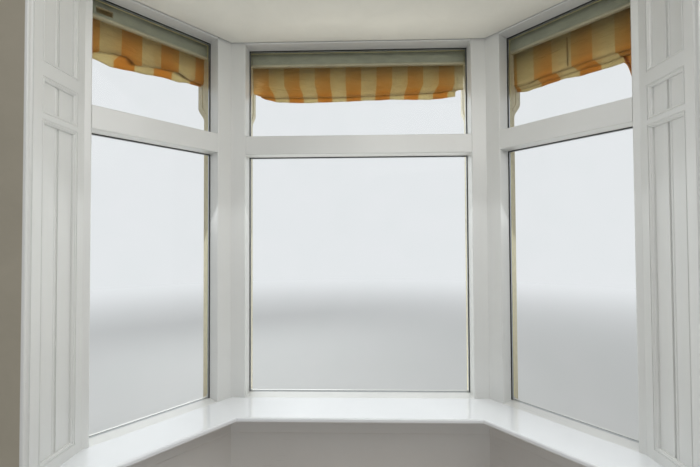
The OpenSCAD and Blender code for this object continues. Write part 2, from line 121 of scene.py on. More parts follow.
class BayColours(bpy.types.PropertyGroup):
    """Colours of the bay window's finishes, linear."""

    paint: colour_choice(
        "Paint", "White gloss paint on the timber", (0.78, 0.785, 0.765))
    # High-gloss paint that is paler and bluer than the frames' paint: painted light from the sky on
    # the sill
    sill: colour_choice(
        "Sill paint", "High gloss paint on the inner sill", (0.90, 0.92, 0.94))
    cream: colour_choice(
        "Awning paint", "Cream paint on the awning boxes", (0.76, 0.70, 0.50))
    bead: colour_choice(
        "Bead paint", "Cream paint on the outer glazing beads", (0.94, 0.88, 0.52))
    # A darker grey-green for the awnings' inner rails
    rail_grey_green: colour_choice(
        "Algae", "Grey-green film on the awnings' inner rails", (0.64, 0.64, 0.48))
    plaster: colour_choice(
        "Plaster", "Matt plaster of the ceiling", (0.87, 0.855, 0.785))
    # Painted shade in the gap between the ceiling and the window heads, darker than the ceiling's
    # plaster
    gap: colour_choice(
        "Shadow gap", "Grey-brown dust in the gap between the ceiling and the window heads",
        (0.17, 0.145, 0.115))
    # Darker than the frames' white: painted shade on the room's side of the wall
    room_wall_shaded: colour_choice(
        "Room wall", "Warm grey plaster on the room's side of the wall", (0.44, 0.40, 0.32))
    orange: colour_choice(
        "Orange stripe", "Orange stripes of the awning canvas", (0.90, 0.49, 0.115))
    canvas: colour_choice(
        "Cream stripe", "Cream stripes of the awning canvas", (0.98, 0.92, 0.60))
    brick_dark: colour_choice(
        "Dark brick", "Darkest bricks of the mix", (0.090, 0.038, 0.028))
    brick_light: colour_choice(
        "Light brick", "Lightest bricks of the mix", (0.300, 0.115, 0.066))
    mortar: colour_choice(
        "Mortar", "Pointing between the bricks", (0.36, 0.33, 0.29))
    tile: colour_choice(
        "Sill tile", "Glazed tiles of the outer sills", (0.085, 0.032, 0.024))
    boards: colour_choice(
        "Floor boards", "Oiled boards of the floor", (0.33, 0.19, 0.095))
    felt: colour_choice(
        "Roofing felt", "Slate-chipped felt on the roof", (0.055, 0.058, 0.062))
    lead: colour_choice(
        "Sheet metal", "Lead flashing and the zinc cap of the fascia", (0.30, 0.32, 0.34))


class BaySizes(bpy.types.PropertyGroup):
    """Sizes of the repeated and the soft pieces, in metres."""

    brick_length: length_choice(
        "Brick length", "Length of one brick",
        0.18, 0.25, 0.210)
    brick_joint: length_choice(
        "Mortar joint", "Width of the joints between bricks",
        0.006, 0.014, 0.010)
    courses: IntProperty(
        name="Parapet courses", description="Courses of brick under the outer sill",
        min=10, max=18, default=14)
    brick_proud: length_choice(
        "Brick relief", "How far the bricks stand out from the pointing",
        0.002, 0.006, 0.004)
    tile_width: length_choice(
        "Sill tile width", "Width of one tile of the outer sills",
        0.1, 0.2, 0.145)
    board_width: length_choice(
        "Floor board width", "Width of one floor board",
        0.08, 0.2, 0.125)
    sheet_glass: length_choice(
        "Sheet of glass", "Thickness of each sheet of the double glazing",
        0.003, 0.006, 0.004)
    seal_show: length_choice(
        "Edge seal", "How far the dark edge seal shows inside the frame",
        0.0, 0.008, 0.0052)
    stripe: length_choice(
        "Stripe", "Width of one stripe of the canvas",
        0.05, 0.15, 0.0945)
    canvas_thickness: length_choice(
        "Canvas", "Thickness of the canvas",
        0.0005, 0.002, 0.0008)
    seed: IntProperty(
        name="Seed", description="Seed of the bricks' shades and settling",
        min=0, max=100, default=7)
    soft_arrises: BoolProperty(
        name="Soft arrises", description="Round the edges of the joinery slightly", default=True)


def sizes():
    return bpy.context.scene.bay_sizes


def colours():
    return bpy.context.scene.bay_colours


# Nodes

class Nodes:
    """A node tree, with short calls that make its nodes and link them."""

    def __init__(self, tree):
        self.tree = tree

    def node(self, kind, inputs=None, **settings):
        made = self.tree.nodes.new(kind)
        for name, value in settings.items():
            setattr(made, name, value)
        for name, value in (inputs or {}).items():
            if isinstance(value, bpy.types.NodeSocket):
                self.tree.links.new(value, made.inputs[name])
            else:
                made.inputs[name].default_value = value
        return made

    def math(self, operation, a, b=0.0):
        return self.node("ShaderNodeMath", {0: a, 1: b}, operation=operation).outputs[0]

    def spread(self, value, low, high, to_low=0.0, to_high=1.0):
        """The value's range from low to high, spread over another range."""
        return self.node("ShaderNodeMapRange", {
            "Value": value, "From Min": low, "From Max": high,
            "To Min": to_low, "To Max": to_high}).outputs["Result"]

    def part(self, vector, axis):
        return self.node("ShaderNodeSeparateXYZ", {0: vector}).outputs[axis]

    def seen_directly(self):
        """One for what the camera sees, in a mirror or through glass too, and none for light."""
        path = self.node("ShaderNodeLightPath").outputs
        seen = self.math("MAXIMUM", path["Is Camera Ray"], path["Is Glossy Ray"])
        return self.math("MAXIMUM", seen, path["Is Transmission Ray"])


class Finish(Nodes):
    """A material with one Principled shader, and short calls for what finishes share."""

    def __init__(self, name, roughness, **sockets):
        self.material = bpy.data.materials.new(name)
        self.material.use_nodes = True
        super().__init__(self.material.node_tree)
        self.shader = self.tree.nodes["Principled BSDF"]
        self.shader.inputs["Roughness"].default_value = roughness
        for socket, value in sockets.items():
            self.shader.inputs[socket.replace("_", " ")].default_value = value
        self.place = self.node("ShaderNodeTexCoord").outputs["Object"]

    def wire(self, source, socket):
        self.tree.links.new(source, self.shader.inputs[socket])

    def mapped(self, scale, turn=0.0, vector=None):
        """The place on the piece, turned about the upright and stretched."""
        turned = self.node(
            "ShaderNodeMapping", {"Vector": vector or self.place, "Rotation": (0, 0, -turn)})
        return self.node(
            "ShaderNodeMapping", {"Vector": turned.outputs[0], "Scale": scale}).outputs[0]

    def noise(self, scale, detail=4.0, rough=0.55, vector=None, distortion=0.0):
        return self.node("ShaderNodeTexNoise", {
            "Vector": vector or self.place, "Scale": scale, "Detail": detail,
            "Roughness": rough, "Distortion": distortion}).outputs["Fac"]

    def attribute(self, name):
        return self.node("ShaderNodeAttribute", attribute_name=name).outputs["Fac"]

    def mix(self, factor, a, b):
        """A colour between two others."""
        made = self.node("ShaderNodeMix", {"Factor": factor}, data_type="RGBA")
        for index, value in ((6, a), (7, b)):
            if isinstance(value, bpy.types.NodeSocket):
                self.tree.links.new(value, made.inputs[index])
            else:
                made.inputs[index].default_value = (*value, 1.0)
        return made.outputs[2]

    def blend(self, factor, other):
        """Mixes another shader into the surface."""
        both = self.node(
            "ShaderNodeMixShader", {0: factor, 1: self.shader.outputs[0], 2: other.outputs[0]})
        self.tree.links.new(both.outputs[0], self.tree.nodes["Material Output"].inputs["Surface"])

    def outside(self, depth):
        """One beyond that distance outward of the windows' inner faces, and none within it."""
        beyond = 0.0
        for facet in FACETS:
            outward = facet.matrix.to_3x3().col[1]
            away = self.node("ShaderNodeVectorMath", {
                0: self.place, 1: tuple(outward)}, operation="DOT_PRODUCT").outputs["Value"]
            limit = outward.dot(facet.matrix.translation) + depth
            beyond = self.math("MAXIMUM", self.math("GREATER_THAN", away, limit), beyond)
        return beyond

    def bump(self, height, strength, distance, under=None):
        inputs = {"Height": height, "Strength": strength, "Distance": distance}
        if under is not None:
            inputs["Normal"] = under
        return self.node("ShaderNodeBump", inputs).outputs[0]


def shade(colour, factor):
    return tuple(min(1.0, c * factor) for c in colour)


# Heights of the painted strip at the foot of the beads, and of the rails' face above their edge
FOOT_HIGH = 0.012
RAIL_EDGE = 0.016
# Outward distance at which the painted shade on the awning boxes' fronts starts
BOX_FRONT_SHADE_FROM = 0.235


def painted_timber(name, colour, roughness, grain, turn=0.0, coat=0.25, shaded_outside_from=0.100, foot=None):
    """Brushed paint: faint strokes along the grain, slight pooling, and a darker paint with rain
    marks outside.

    The darker paint outside is painted shade with rain marks; it starts at the given distance
    from the windows' inner faces. A foot is the colour of a narrow strip at the sill.
    """
    finish = Finish(name, roughness, IOR=1.5, Coat_Weight=coat, Coat_Roughness=0.10, Coat_IOR=1.6)
    strokes = finish.noise(1.0, 3.0, 0.6, finish.mapped(grain, turn))
    pooling = finish.noise(7.0, 3.0, 0.5)
    patches = finish.noise(1.7, 5.0, 0.6)
    tone = finish.mix(finish.spread(patches, 0.35, 0.7), shade(colour, 0.965), shade(colour, 1.015))
    tone = finish.mix(finish.spread(strokes, 0.55, 0.8, 0.0, 0.25), tone, shade(colour, 0.93))
    # Outside the windows the paint is darker, with rain marks: painted shade
    rain = finish.noise(1.0, 5.0, 0.6, finish.mapped((60.0, 60.0, 2.5)))
    rain_marked_shade = finish.mix(finish.spread(rain, 0.35, 0.75), shade(colour, 0.80), shade(colour, 0.68))
    tone = finish.mix(finish.outside(shaded_outside_from), tone, rain_marked_shade)
    if foot:
        at_sill = finish.math("LESS_THAN", finish.part(finish.place, "Z"), SILL_Z + FOOT_HIGH)
        tone = finish.mix(at_sill, tone, foot)
    finish.wire(tone, "Base Color")
    rough = finish.math("ADD", finish.spread(strokes, 0.3, 0.7, -0.03, 0.05),
                        finish.spread(patches, 0.3, 0.7, roughness - 0.02, roughness + 0.06))
    finish.wire(rough, "Roughness")
    soft = finish.bump(pooling, 0.10, 0.004)
    finish.wire(finish.bump(strokes, 0.22, 0.0006, soft), "Normal")
    return finish.material


def awning_paint(facet):
    """Cream paint on the awning box, with a darker grey-green on its inner rail."""
    c = colours()
    finish = Finish("cream_paint_" + facet.name, 0.45, IOR=1.5)
    grime = finish.noise(1.0, 6.0, 0.65, finish.mapped((14.0, 40.0, 40.0), facet.turn))
    specks = finish.noise(70.0, 4.0, 0.7)
    strokes = finish.noise(1.0, 3.0, 0.6, finish.mapped((2.5, 90.0, 90.0), facet.turn))
    inner = finish.math("SUBTRACT", 1.0, finish.outside(CASE_IN + 0.001))
    above = finish.math("GREATER_THAN", finish.part(finish.place, "Z"), RAIL_LOW + RAIL_EDGE)
    inner = finish.math("MULTIPLY", inner, above)
    cream = finish.mix(finish.spread(grime, 0.45, 0.8), c.cream, shade(c.cream, 0.82))
    green = finish.mix(finish.spread(grime, 0.3, 0.7), c.rail_grey_green, shade(c.rail_grey_green, 0.78))
    tone = finish.mix(inner, cream, green)
    # The boxes' outward fronts are darker: painted shade
    front = finish.math("MULTIPLY", finish.outside(BOX_FRONT_SHADE_FROM), 0.8)
    tone = finish.mix(front, tone, shade(c.cream, 0.72))
    tone = finish.mix(finish.spread(specks, 0.6, 0.75, 0.0, 0.35), tone, shade(c.rail_grey_green, 0.4))
    finish.wire(tone, "Base Color")
    finish.wire(finish.spread(grime, 0.3, 0.7, 0.40, 0.62), "Roughness")
    soft = finish.bump(specks, 0.15, 0.001)
    finish.wire(finish.bump(strokes, 0.25, 0.0006, soft), "Normal")
    return finish.material


def plaster_finish(name, colour):
    """Matt plaster with float marks."""
    finish = Finish(name, 0.85, Specular_IOR_Level=0.3)
    marks = finish.noise(5.0, 6.0, 0.6, distortion=0.6)
    grain = finish.noise(240.0, 2.0, 0.6)
    tone = finish.mix(finish.spread(marks, 0.3, 0.75), shade(colour, 0.96), shade(colour, 1.02))
    finish.wire(tone, "Base Color")
    coarse = finish.bump(marks, 0.18, 0.003)
    finish.wire(finish.bump(grain, 0.12, 0.0006, coarse), "Normal")
    return finish.material


def masonry_finish():
    """Room plaster on the room's side of the wall, in a darker grey as painted shade, and sandy
    mortar on all the other faces.
    """
    c = colours()
    finish = Finish("mortar_and_plaster", 0.9, Specular_IOR_Level=0.25)
    sand = finish.noise(420.0, 3.0, 0.7)
    lumps = finish.noise(38.0, 5.0, 0.65)
    marks = finish.noise(5.0, 6.0, 0.6, distortion=0.6)
    lumpy = finish.spread(lumps, 0.3, 0.7)
    mortar = finish.mix(lumpy, shade(c.mortar, 0.72), shade(c.mortar, 1.12))
    mortar = finish.mix(finish.spread(sand, 0.4, 0.65, 0.0, 0.5), mortar, shade(c.mortar, 0.55))
    floated = finish.spread(marks, 0.3, 0.75)
    wall = finish.mix(floated, shade(c.room_wall_shaded, 0.92), shade(c.room_wall_shaded, 1.04))
    room = finish.math("LESS_THAN", finish.part(finish.place, "Y"), ROOM_Y + 0.0005)
    finish.wire(finish.mix(room, mortar, wall), "Base Color")
    coarse = finish.math("ADD", sand, lumps)
    relief = finish.math("MULTIPLY", coarse, finish.spread(room, 0, 1, 1, 0.12))
    finish.wire(finish.bump(relief, 0.6, 0.002), "Normal")
    return finish.material


def brick_finish():
    """Fired clay: a shade for each brick, with darker kiln smudges and paler sandy pits."""
    c = colours()
    finish = Finish("facing_brick", 0.82, Specular_IOR_Level=0.3)
    tone = finish.attribute("tone")
    pits = finish.noise(160.0, 5.0, 0.7)
    smudge = finish.noise(14.0, 5.0, 0.65, distortion=1.2)
    clay = finish.mix(tone, c.brick_dark, c.brick_light)
    clay = finish.mix(finish.spread(smudge, 0.52, 0.74, 0.0, 0.6), clay, shade(c.brick_dark, 0.75))
    clay = finish.mix(finish.spread(pits, 0.55, 0.75, 0.0, 0.55), clay, shade(c.brick_light, 1.35))
    finish.wire(clay, "Base Color")
    finish.wire(finish.spread(pits, 0.3, 0.7, 0.68, 0.92), "Roughness")
    rough = finish.bump(smudge, 0.35, 0.003)
    finish.wire(finish.bump(pits, 0.5, 0.0012, rough), "Normal")
    return finish.material


def tile_finish():
    """Salt-glazed sill tile: a shade for each tile, mottled, with dust that dulls the glaze."""
    c = colours()
    finish = Finish("glazed_tile", 0.22, Coat_Weight=0.5, Coat_Roughness=0.08)
    tone = finish.attribute("tone")
    mottle = finish.noise(45.0, 5.0, 0.6, distortion=0.8)
    dust = finish.noise(9.0, 6.0, 0.7)
    glaze = finish.mix(tone, shade(c.tile, 0.7), shade(c.tile, 1.5))
    glaze = finish.mix(finish.spread(mottle, 0.45, 0.75, 0.0, 0.6), glaze, shade(c.tile, 2.4))
    glaze = finish.mix(finish.spread(dust, 0.5, 0.85, 0.0, 0.35), glaze, (0.30, 0.27, 0.24))
    finish.wire(glaze, "Base Color")
    finish.wire(finish.spread(dust, 0.4, 0.8, 0.16, 0.55), "Roughness")
    finish.wire(finish.bump(mottle, 0.2, 0.001), "Normal")
    return finish.material


def board_finish():
    """Oiled pine: growth rings drawn out along each board, with darker pores."""
    c = colours()
    finish = Finish("floor_board", 0.42, Coat_Weight=0.2, Coat_Roughness=0.25)
    tone = finish.attribute("tone")
    along = finish.mapped((1.6, 34.0, 34.0))
    rings = finish.node("ShaderNodeTexWave", {
        "Vector": along, "Scale": 0.9, "Distortion": 5.0, "Detail": 3.0, "Detail Scale": 1.2,
        "Phase Offset": finish.math("MULTIPLY", tone, 60.0)}, wave_type="RINGS").outputs["Fac"]
    pores = finish.noise(1.0, 4.0, 0.7, finish.mapped((9.0, 420.0, 420.0)))
    wood = finish.mix(
        finish.spread(tone, 0, 1, 0.1, 0.9), shade(c.boards, 0.78), shade(c.boards, 1.25))
    wood = finish.mix(finish.spread(rings, 0.45, 0.95, 0.0, 0.45), wood, shade(c.boards, 0.45))
    wood = finish.mix(finish.spread(pores, 0.55, 0.8, 0.0, 0.5), wood, shade(c.boards, 0.3))
    finish.wire(wood, "Base Color")
    finish.wire(finish.bump(pores, 0.25, 0.0008), "Normal")
    return finish.material


def felt_finish():
    """Slate-chipped felt: pale chips in dark bitumen, with a few bald patches."""
    c = colours()
    finish = Finish("roofing_felt", 0.88, Specular_IOR_Level=0.35)
    chips = finish.node("ShaderNodeTexVoronoi", {"Vector": finish.place, "Scale": 420.0})
    bald = finish.noise(3.2, 5.0, 0.6)
    shades = finish.node("ShaderNodeSeparateColor", {0: chips.outputs["Color"]}).outputs[0]
    grit = finish.mix(shades, shade(c.felt, 0.6), shade(c.felt, 3.2))
    tone = finish.mix(finish.spread(bald, 0.58, 0.75, 0.0, 0.8), grit, shade(c.felt, 0.5))
    finish.wire(tone, "Base Color")
    finish.wire(finish.bump(chips.outputs["Distance"], 0.7, 0.0015), "Normal")
    return finish.material


def metal_finish():
    """Weathered sheet metal: dull grey with paler bloom and run marks."""
    c = colours()
    finish = Finish("weathered_metal", 0.5, Metallic=0.7)
    bloom = finish.noise(11.0, 6.0, 0.65, distortion=0.7)
    runs = finish.noise(1.0, 4.0, 0.6, finish.mapped((70.0, 70.0, 3.0)))
    tone = finish.mix(finish.spread(bloom, 0.35, 0.75), shade(c.lead, 0.7), shade(c.lead, 1.35))
    tone = finish.mix(finish.spread(runs, 0.55, 0.8, 0.0, 0.4), tone, shade(c.lead, 1.8))
    finish.wire(tone, "Base Color")
    finish.wire(finish.spread(bloom, 0.3, 0.7, 0.38, 0.68), "Roughness")
    finish.wire(finish.bump(bloom, 0.2, 0.003), "Normal")
    return finish.material


THREAD_PITCH = 0.0016


def canvas_finish():
    """Woven canvas with dyed stripes across its width, lit through from behind."""
    c, s = colours(), sizes()
    finish = Finish("striped_canvas", 0.86, Sheen_Weight=0.15, Sheen_Roughness=0.5)
    flat = finish.node("ShaderNodeUVMap", uv_map="cloth").outputs[0]
    across, down = finish.part(flat, "X"), finish.part(flat, "Y")
    wobble = finish.noise(30.0, 2.0, 0.5, flat)
    edge = finish.math("ADD", across, finish.spread(wobble, 0, 1, -0.0008, 0.0008))
    phase = finish.math("FLOORED_MODULO", edge, 2 * s.stripe)
    orange = finish.math("LESS_THAN", phase, s.stripe)
    threads = [finish.math("SINE", finish.math("MULTIPLY", way, 2 * math.pi / THREAD_PITCH))
               for way in (across, down)]
    weave = finish.math("MULTIPLY", *threads)
    thread = finish.noise(1.0, 3.0, 0.6, finish.mapped((900.0, 30.0, 1.0), vector=flat))
    stain = finish.noise(4.5, 6.0, 0.65, flat)
    crumple = finish.noise(1.0, 6.0, 0.62, finish.mapped((9.0, 34.0, 1.0), vector=flat), 0.7)
    crease = finish.math("ABSOLUTE", finish.math("SUBTRACT", crumple, 0.5))

    pattern = finish.mix(orange, c.canvas, c.orange)
    for cover, colour in (
            (finish.spread(thread, 0.4, 0.7, 0.0, 0.22), (0.42, 0.30, 0.16)),
            (finish.spread(stain, 0.5, 0.8, 0.0, 0.30), (0.34, 0.27, 0.16)),
            (0.3, (0.35, 0.2, 0.1)),  # browned by age
            # Partly dust and partly painted shade, darker towards the rail
            (finish.attribute("dust"), (0.26, 0.24, 0.12)),
            # Darker along the crumples' creases: painted shade
            (finish.spread(crease, 0.0, 0.035, 0.22, 0.0), (0.30, 0.20, 0.08))):
        pattern = finish.mix(cover, pattern, colour)

    surface = finish.bump(weave, 0.25, 0.0004, finish.bump(crumple, 0.8, 0.010))
    finish.wire(surface, "Normal")
    # Painted shade between the folds and in the right awning's pleat darkens the colour and the
    # light through the cloth
    tuck = finish.math("MULTIPLY", finish.attribute("tuck"), 0.55)
    finish.wire(finish.mix(tuck, pattern, (0.10, 0.05, 0.02)), "Base Color")
    # The light that shines through the cloth is tinted a second time by the shader
    lit = finish.node("ShaderNodeGamma", {"Color": pattern, "Gamma": 0.45}).outputs[0]
    lit = finish.mix(tuck, lit, (0.16, 0.08, 0.03))
    finish.blend(0.95, finish.node("ShaderNodeBsdfTranslucent", {"Color": lit, "Normal": surface}))
    return finish.material


def glass_finish():
    """Clear float glass with a faint tint, which lets the daylight through to the room."""
    finish = Finish("window_glass", 0.0, IOR=1.15, Transmission_Weight=1.0)
    film = finish.noise(6.0, 5.0, 0.6)
    tint = finish.mix(finish.spread(film, 0.3, 0.8), (0.992, 0.998, 0.995), (0.978, 0.990, 0.984))
    finish.wire(tint, "Base Color")
    shadow = finish.node("ShaderNodeLightPath").outputs["Is Shadow Ray"]
    clear = finish.node("ShaderNodeBsdfTransparent", {"Color": (0.985, 0.99, 0.985, 1.0)})
    finish.blend(shadow, clear)
    return finish.material


def seal_finish():
    """Black butyl and rubber along the edges of the glass."""
    finish = Finish("edge_seal", 0.6)
    wear = finish.noise(60.0, 4.0, 0.6)
    finish.wire(finish.mix(wear, (0.006, 0.007, 0.007), (0.018, 0.019, 0.019)), "Base Color")
    finish.wire(finish.bump(wear, 0.2, 0.0005), "Normal")
    return finish.material


def spacer_finish():
    """Mill-finish spacer bar between the sheets of glass."""
    finish = Finish("spacer_bar", 0.35, Metallic=0.9)
    drawn = finish.noise(180.0, 3.0, 0.6)
    finish.wire(finish.mix(drawn, (0.42, 0.43, 0.44), (0.62, 0.63, 0.64)), "Base Color")
    return finish.material


# Mesh helpers

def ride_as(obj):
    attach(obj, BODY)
    return obj


def new_object(name, mesh, material):
    obj = bpy.data.objects.new(name, mesh)
    bpy.context.scene.collection.objects.link(obj)
    if material is not None:
        mesh.materials.clear()
        mesh.materials.append(material)
    return obj


def object_from(name, points, faces, material, matrix=None, smooth=False):
    mesh = bpy.data.meshes.new(name)
    mesh.from_pydata([tuple(p) for p in points], [], faces)
    if matrix is not None:
        mesh.transform(matrix)
    mesh.update()
    if smooth:
        mesh.polygons.foreach_set("use_smooth", [True] * len(mesh.polygons))
    return new_object(name, mesh, material)


BOX_FACES = ((0, 2, 3, 1), (4, 5, 7, 6), (0, 1, 5, 4), (2, 6, 7, 3), (0, 4, 6, 2), (1, 3, 7, 5))


def add_box(points, faces, low, high):
    """Adds a box with outward faces to lists of points and faces."""
    first = len(points)
    points += [(x, y, z) for z in (low[2], high[2])
               for y in (low[1], high[1]) for x in (low[0], high[0])]
    faces += [tuple(first + i for i in face) for face in BOX_FACES]


def drawn_in(frame_edge, sides, bottom):
    """A rectangle (low x, low z, high x, high z) made smaller at its sides and top, and below."""
    x0, z0, x1, z1 = frame_edge
    return x0 + sides, z0 + bottom, x1 - sides, z1 - sides


def add_frame(points, faces, outer, inner, depth):
    """Adds a mitred frame between two rectangles (low x, low z, high x, high z)."""
    first = len(points)
    for y in depth:
        for x0, z0, x1, z1 in (outer, inner):
            points += [(x0, y, z0), (x1, y, z0), (x1, y, z1), (x0, y, z1)]
    for i in range(4):
        j = (i + 1) % 4
        outer_near, inner_near, outer_far, inner_far = (first + k for k in (0, 4, 8, 12))
        faces.append((outer_near + i, outer_near + j, inner_near + j, inner_near + i))
        faces.append((outer_far + j, outer_far + i, inner_far + i, inner_far + j))
        faces.append((outer_near + j, outer_near + i, outer_far + i, outer_far + j))
        faces.append((inner_near + i, inner_near + j, inner_far + j, inner_far + i))


def soften(obj, width):
    """Rounds the sharp edges of a piece, after joining a loose mesh's triangles."""
    weld = obj.modifiers.new("Join triangles", "WELD")
    weld.merge_threshold = 0.00002
    bevel = obj.modifiers.new("Soft arrises", "BEVEL")
    bevel.width = width
    bevel.segments = 2
    bevel.limit_method = "ANGLE"
    bevel.angle_limit = math.radians(40)


def mitre_shift(out):
    """How much further along a mitred corner lies at a distance outward."""
    return out * math.tan(SIDE_ANGLE / 2)


def plan_corner(out):
    """Half width of the bay at a distance outward of the windows' inner faces."""
    return HALF_W + mitre_shift(out)


def side_meets_wall(out):
    """X at which the side's line at that distance outward crosses the wall's outer face."""
    reach = (out * math.cos(SIDE_ANGLE) - (WALL_OUT - FRAME_Y)) / math.sin(SIDE_ANGLE)
    return HALF_W + reach * math.cos(SIDE_ANGLE) + out * math.sin(SIDE_ANGLE)


def mitred_run(name, section, material):
    """Sweeps an outline of (outward, up) points round the bay, from wall to wall."""
    points, faces = [], []
    count = len(section)
    for out, up in section:
        far, near = side_meets_wall(out), plan_corner(out)
        points += [(-far, WALL_OUT, up), (-near, FRAME_Y + out, up),
                   (near, FRAME_Y + out, up), (far, WALL_OUT, up)]
    for i in range(count):
        j = (i + 1) % count
        for k in range(3):
            faces.append((4 * i + k, 4 * i + k + 1, 4 * j + k + 1, 4 * j + k))
    faces.append(tuple(4 * i for i in range(count)))
    faces.append(tuple(4 * i + 3 for i in reversed(range(count))))
    made = object_from(name, points, faces, material)
    face_outward(made.data)
    return made


def face_outward(mesh):
    form = bmesh.new()
    form.from_mesh(mesh)
    bmesh.ops.recalc_face_normals(form, faces=form.faces)
    form.to_mesh(mesh)
    form.free()


def trim(mesh, place, outward):
    """Cuts a mesh with a plane, drops what lies outside it and closes the cut."""
    form = bmesh.new()
    form.from_mesh(mesh)
    cut = bmesh.ops.bisect_plane(
        form, geom=form.verts[:] + form.edges[:] + form.faces[:], dist=1e-6,
        plane_co=place, plane_no=outward, clear_outer=True)
    edges = [e for e in cut["geom_cut"] if isinstance(e, bmesh.types.BMEdge)]
    bmesh.ops.holes_fill(form, edges=edges, sides=0)
    form.to_mesh(mesh)
    form.free()


# Geometry Nodes: blocks laid in courses

class Tree(Nodes):
    """A geometry node tree with named inputs."""

    def __init__(self, name, inputs):
        super().__init__(bpy.data.node_groups.new(name, "GeometryNodeTree"))
        sockets = self.tree.interface
        sockets.new_socket("Geometry", in_out="OUTPUT", socket_type="NodeSocketGeometry")
        for label, kind, default in inputs:
            socket = sockets.new_socket(label, in_out="INPUT", socket_type=kind)
            if default is not None:
                socket.default_value = default
        self.source = self.tree.nodes.new("NodeGroupInput").outputs
        self.result = self.tree.nodes.new("NodeGroupOutput").inputs[0]

    def vector(self, x, y, z):
        return self.node("ShaderNodeCombineXYZ", {0: x, 1: y, 2: z}).outputs[0]

    def random(self, low, high, seed):
        return self.node("FunctionNodeRandomValue", {
            2: low, 3: high, "Seed": seed}, data_type="FLOAT").outputs[1]


COURSE_INPUTS = [
    ("Low along", "NodeSocketFloat", 0.0),
    ("High along", "NodeSocketFloat", 1.0),
    ("Low up", "NodeSocketFloat", 0.0),
    ("High up", "NodeSocketFloat", 1.0),
    ("Length", "NodeSocketFloat", 0.21),
    ("Height", "NodeSocketFloat", 0.05),
    ("Joint", "NodeSocketFloat", 0.01),
    ("Bond", "NodeSocketFloat", 0.5),
    ("Proud", "NodeSocketFloat", 0.004),
    ("Depth", "NodeSocketFloat", 0.02),
    ("Settling", "NodeSocketFloat", 0.0006),
    ("Seed", "NodeSocketInt", 7),
    ("Material", "NodeSocketMaterial", None),
]


SMALLEST_BLOCK = 0.006
# The most that a block leans, in radians, across the face and in the course
LEAN_OUT, LEAN_ALONG = 0.004, 0.003


def course_tree():
    """Rows of blocks with joints, each row shifted by the bond and cut off at the patch's edges."""
    t = Tree("laid_courses", COURSE_INPUTS)
    s = t.source
    pitch = t.math("ADD", s["Length"], s["Joint"])
    course = t.math("ADD", s["Height"], s["Joint"])
    first_column = t.math(
        "SUBTRACT", t.math("FLOOR", t.math("DIVIDE", s["Low along"], pitch)), 1.0)
    first_row = t.math("FLOOR", t.math("DIVIDE", s["Low up"], course))
    wide = t.math("SUBTRACT", s["High along"], s["Low along"])
    tall = t.math("SUBTRACT", s["High up"], s["Low up"])
    columns = t.math("ADD", t.math("CEIL", t.math("DIVIDE", wide, pitch)), 3.0)
    rows = t.math("ADD", t.math("CEIL", t.math("DIVIDE", tall, course)), 2.0)
    index = t.node("GeometryNodeInputIndex").outputs[0]
    column = t.math("ADD", t.math("FLOORED_MODULO", index, columns), first_column)
    row = t.math("ADD", t.math("FLOOR", t.math("DIVIDE", index, columns)), first_row)
    every_other = t.math("MULTIPLY", t.math("FLOORED_MODULO", row, 2.0), pitch)
    shift = t.math("MULTIPLY", every_other, s["Bond"])
    left = t.math("ADD", t.math("MULTIPLY", column, pitch), shift)
    low = t.math("MULTIPLY", row, course)
    x0 = t.math("MAXIMUM", left, s["Low along"])
    x1 = t.math("MINIMUM", t.math("ADD", left, s["Length"]), s["High along"])
    z0 = t.math("MAXIMUM", low, s["Low up"])
    z1 = t.math("MINIMUM", t.math("ADD", low, s["Height"]), s["High up"])
    length = t.math("SUBTRACT", x1, x0)
    height = t.math("SUBTRACT", z1, z0)
    smallest = t.math("MINIMUM", length, height)
    middle = t.math("SUBTRACT", s["Proud"], t.math("MULTIPLY", s["Depth"], 0.5))
    settle = t.random(t.math("MULTIPLY", s["Settling"], -1.0), s["Settling"], s["Seed"])
    place = t.vector(
        t.math("MULTIPLY", t.math("ADD", x0, x1), 0.5),
        t.math("ADD", middle, settle),
        t.math("MULTIPLY", t.math("ADD", z0, z1), 0.5))
    points = t.node("GeometryNodePoints", {
        "Count": t.math("MULTIPLY", columns, rows), "Position": place}).outputs[0]
    size = t.node("GeometryNodeStoreNamedAttribute", {
        "Geometry": points, "Name": "size", "Value": t.vector(length, s["Depth"], height)},
        data_type="FLOAT_VECTOR", domain="POINT").outputs[0]
    small = t.node(
        "FunctionNodeCompare", {0: smallest, 1: SMALLEST_BLOCK}, operation="LESS_THAN").outputs[0]
    kept = t.node("GeometryNodeDeleteGeometry", {
        "Geometry": size, "Selection": small}, domain="POINT").outputs[0]
    saved = t.node(
        "GeometryNodeInputNamedAttribute", {"Name": "size"}, data_type="FLOAT_VECTOR").outputs[0]
    lean = t.vector(
        t.random(-LEAN_OUT, LEAN_OUT, t.math("ADD", s["Seed"], 1.0)), 0.0,
        t.random(-LEAN_ALONG, LEAN_ALONG, t.math("ADD", s["Seed"], 2.0)))
    laid = t.node("GeometryNodeInstanceOnPoints", {
        "Points": kept, "Instance": chamfered_block(t),
        "Scale": saved, "Rotation": lean}).outputs[0]
    tone = t.random(0.0, 1.0, t.math("ADD", s["Seed"], 3.0))
    shaded = t.node("GeometryNodeStoreNamedAttribute", {
        "Geometry": laid, "Name": "tone", "Value": tone},
        data_type="FLOAT", domain="INSTANCE").outputs[0]
    real = t.node("GeometryNodeRealizeInstances", {"Geometry": shaded}).outputs[0]
    done = t.node("GeometryNodeSetMaterial", {
        "Geometry": real, "Material": s["Material"]}).outputs[0]
    t.tree.links.new(done, t.result)
    return t.tree


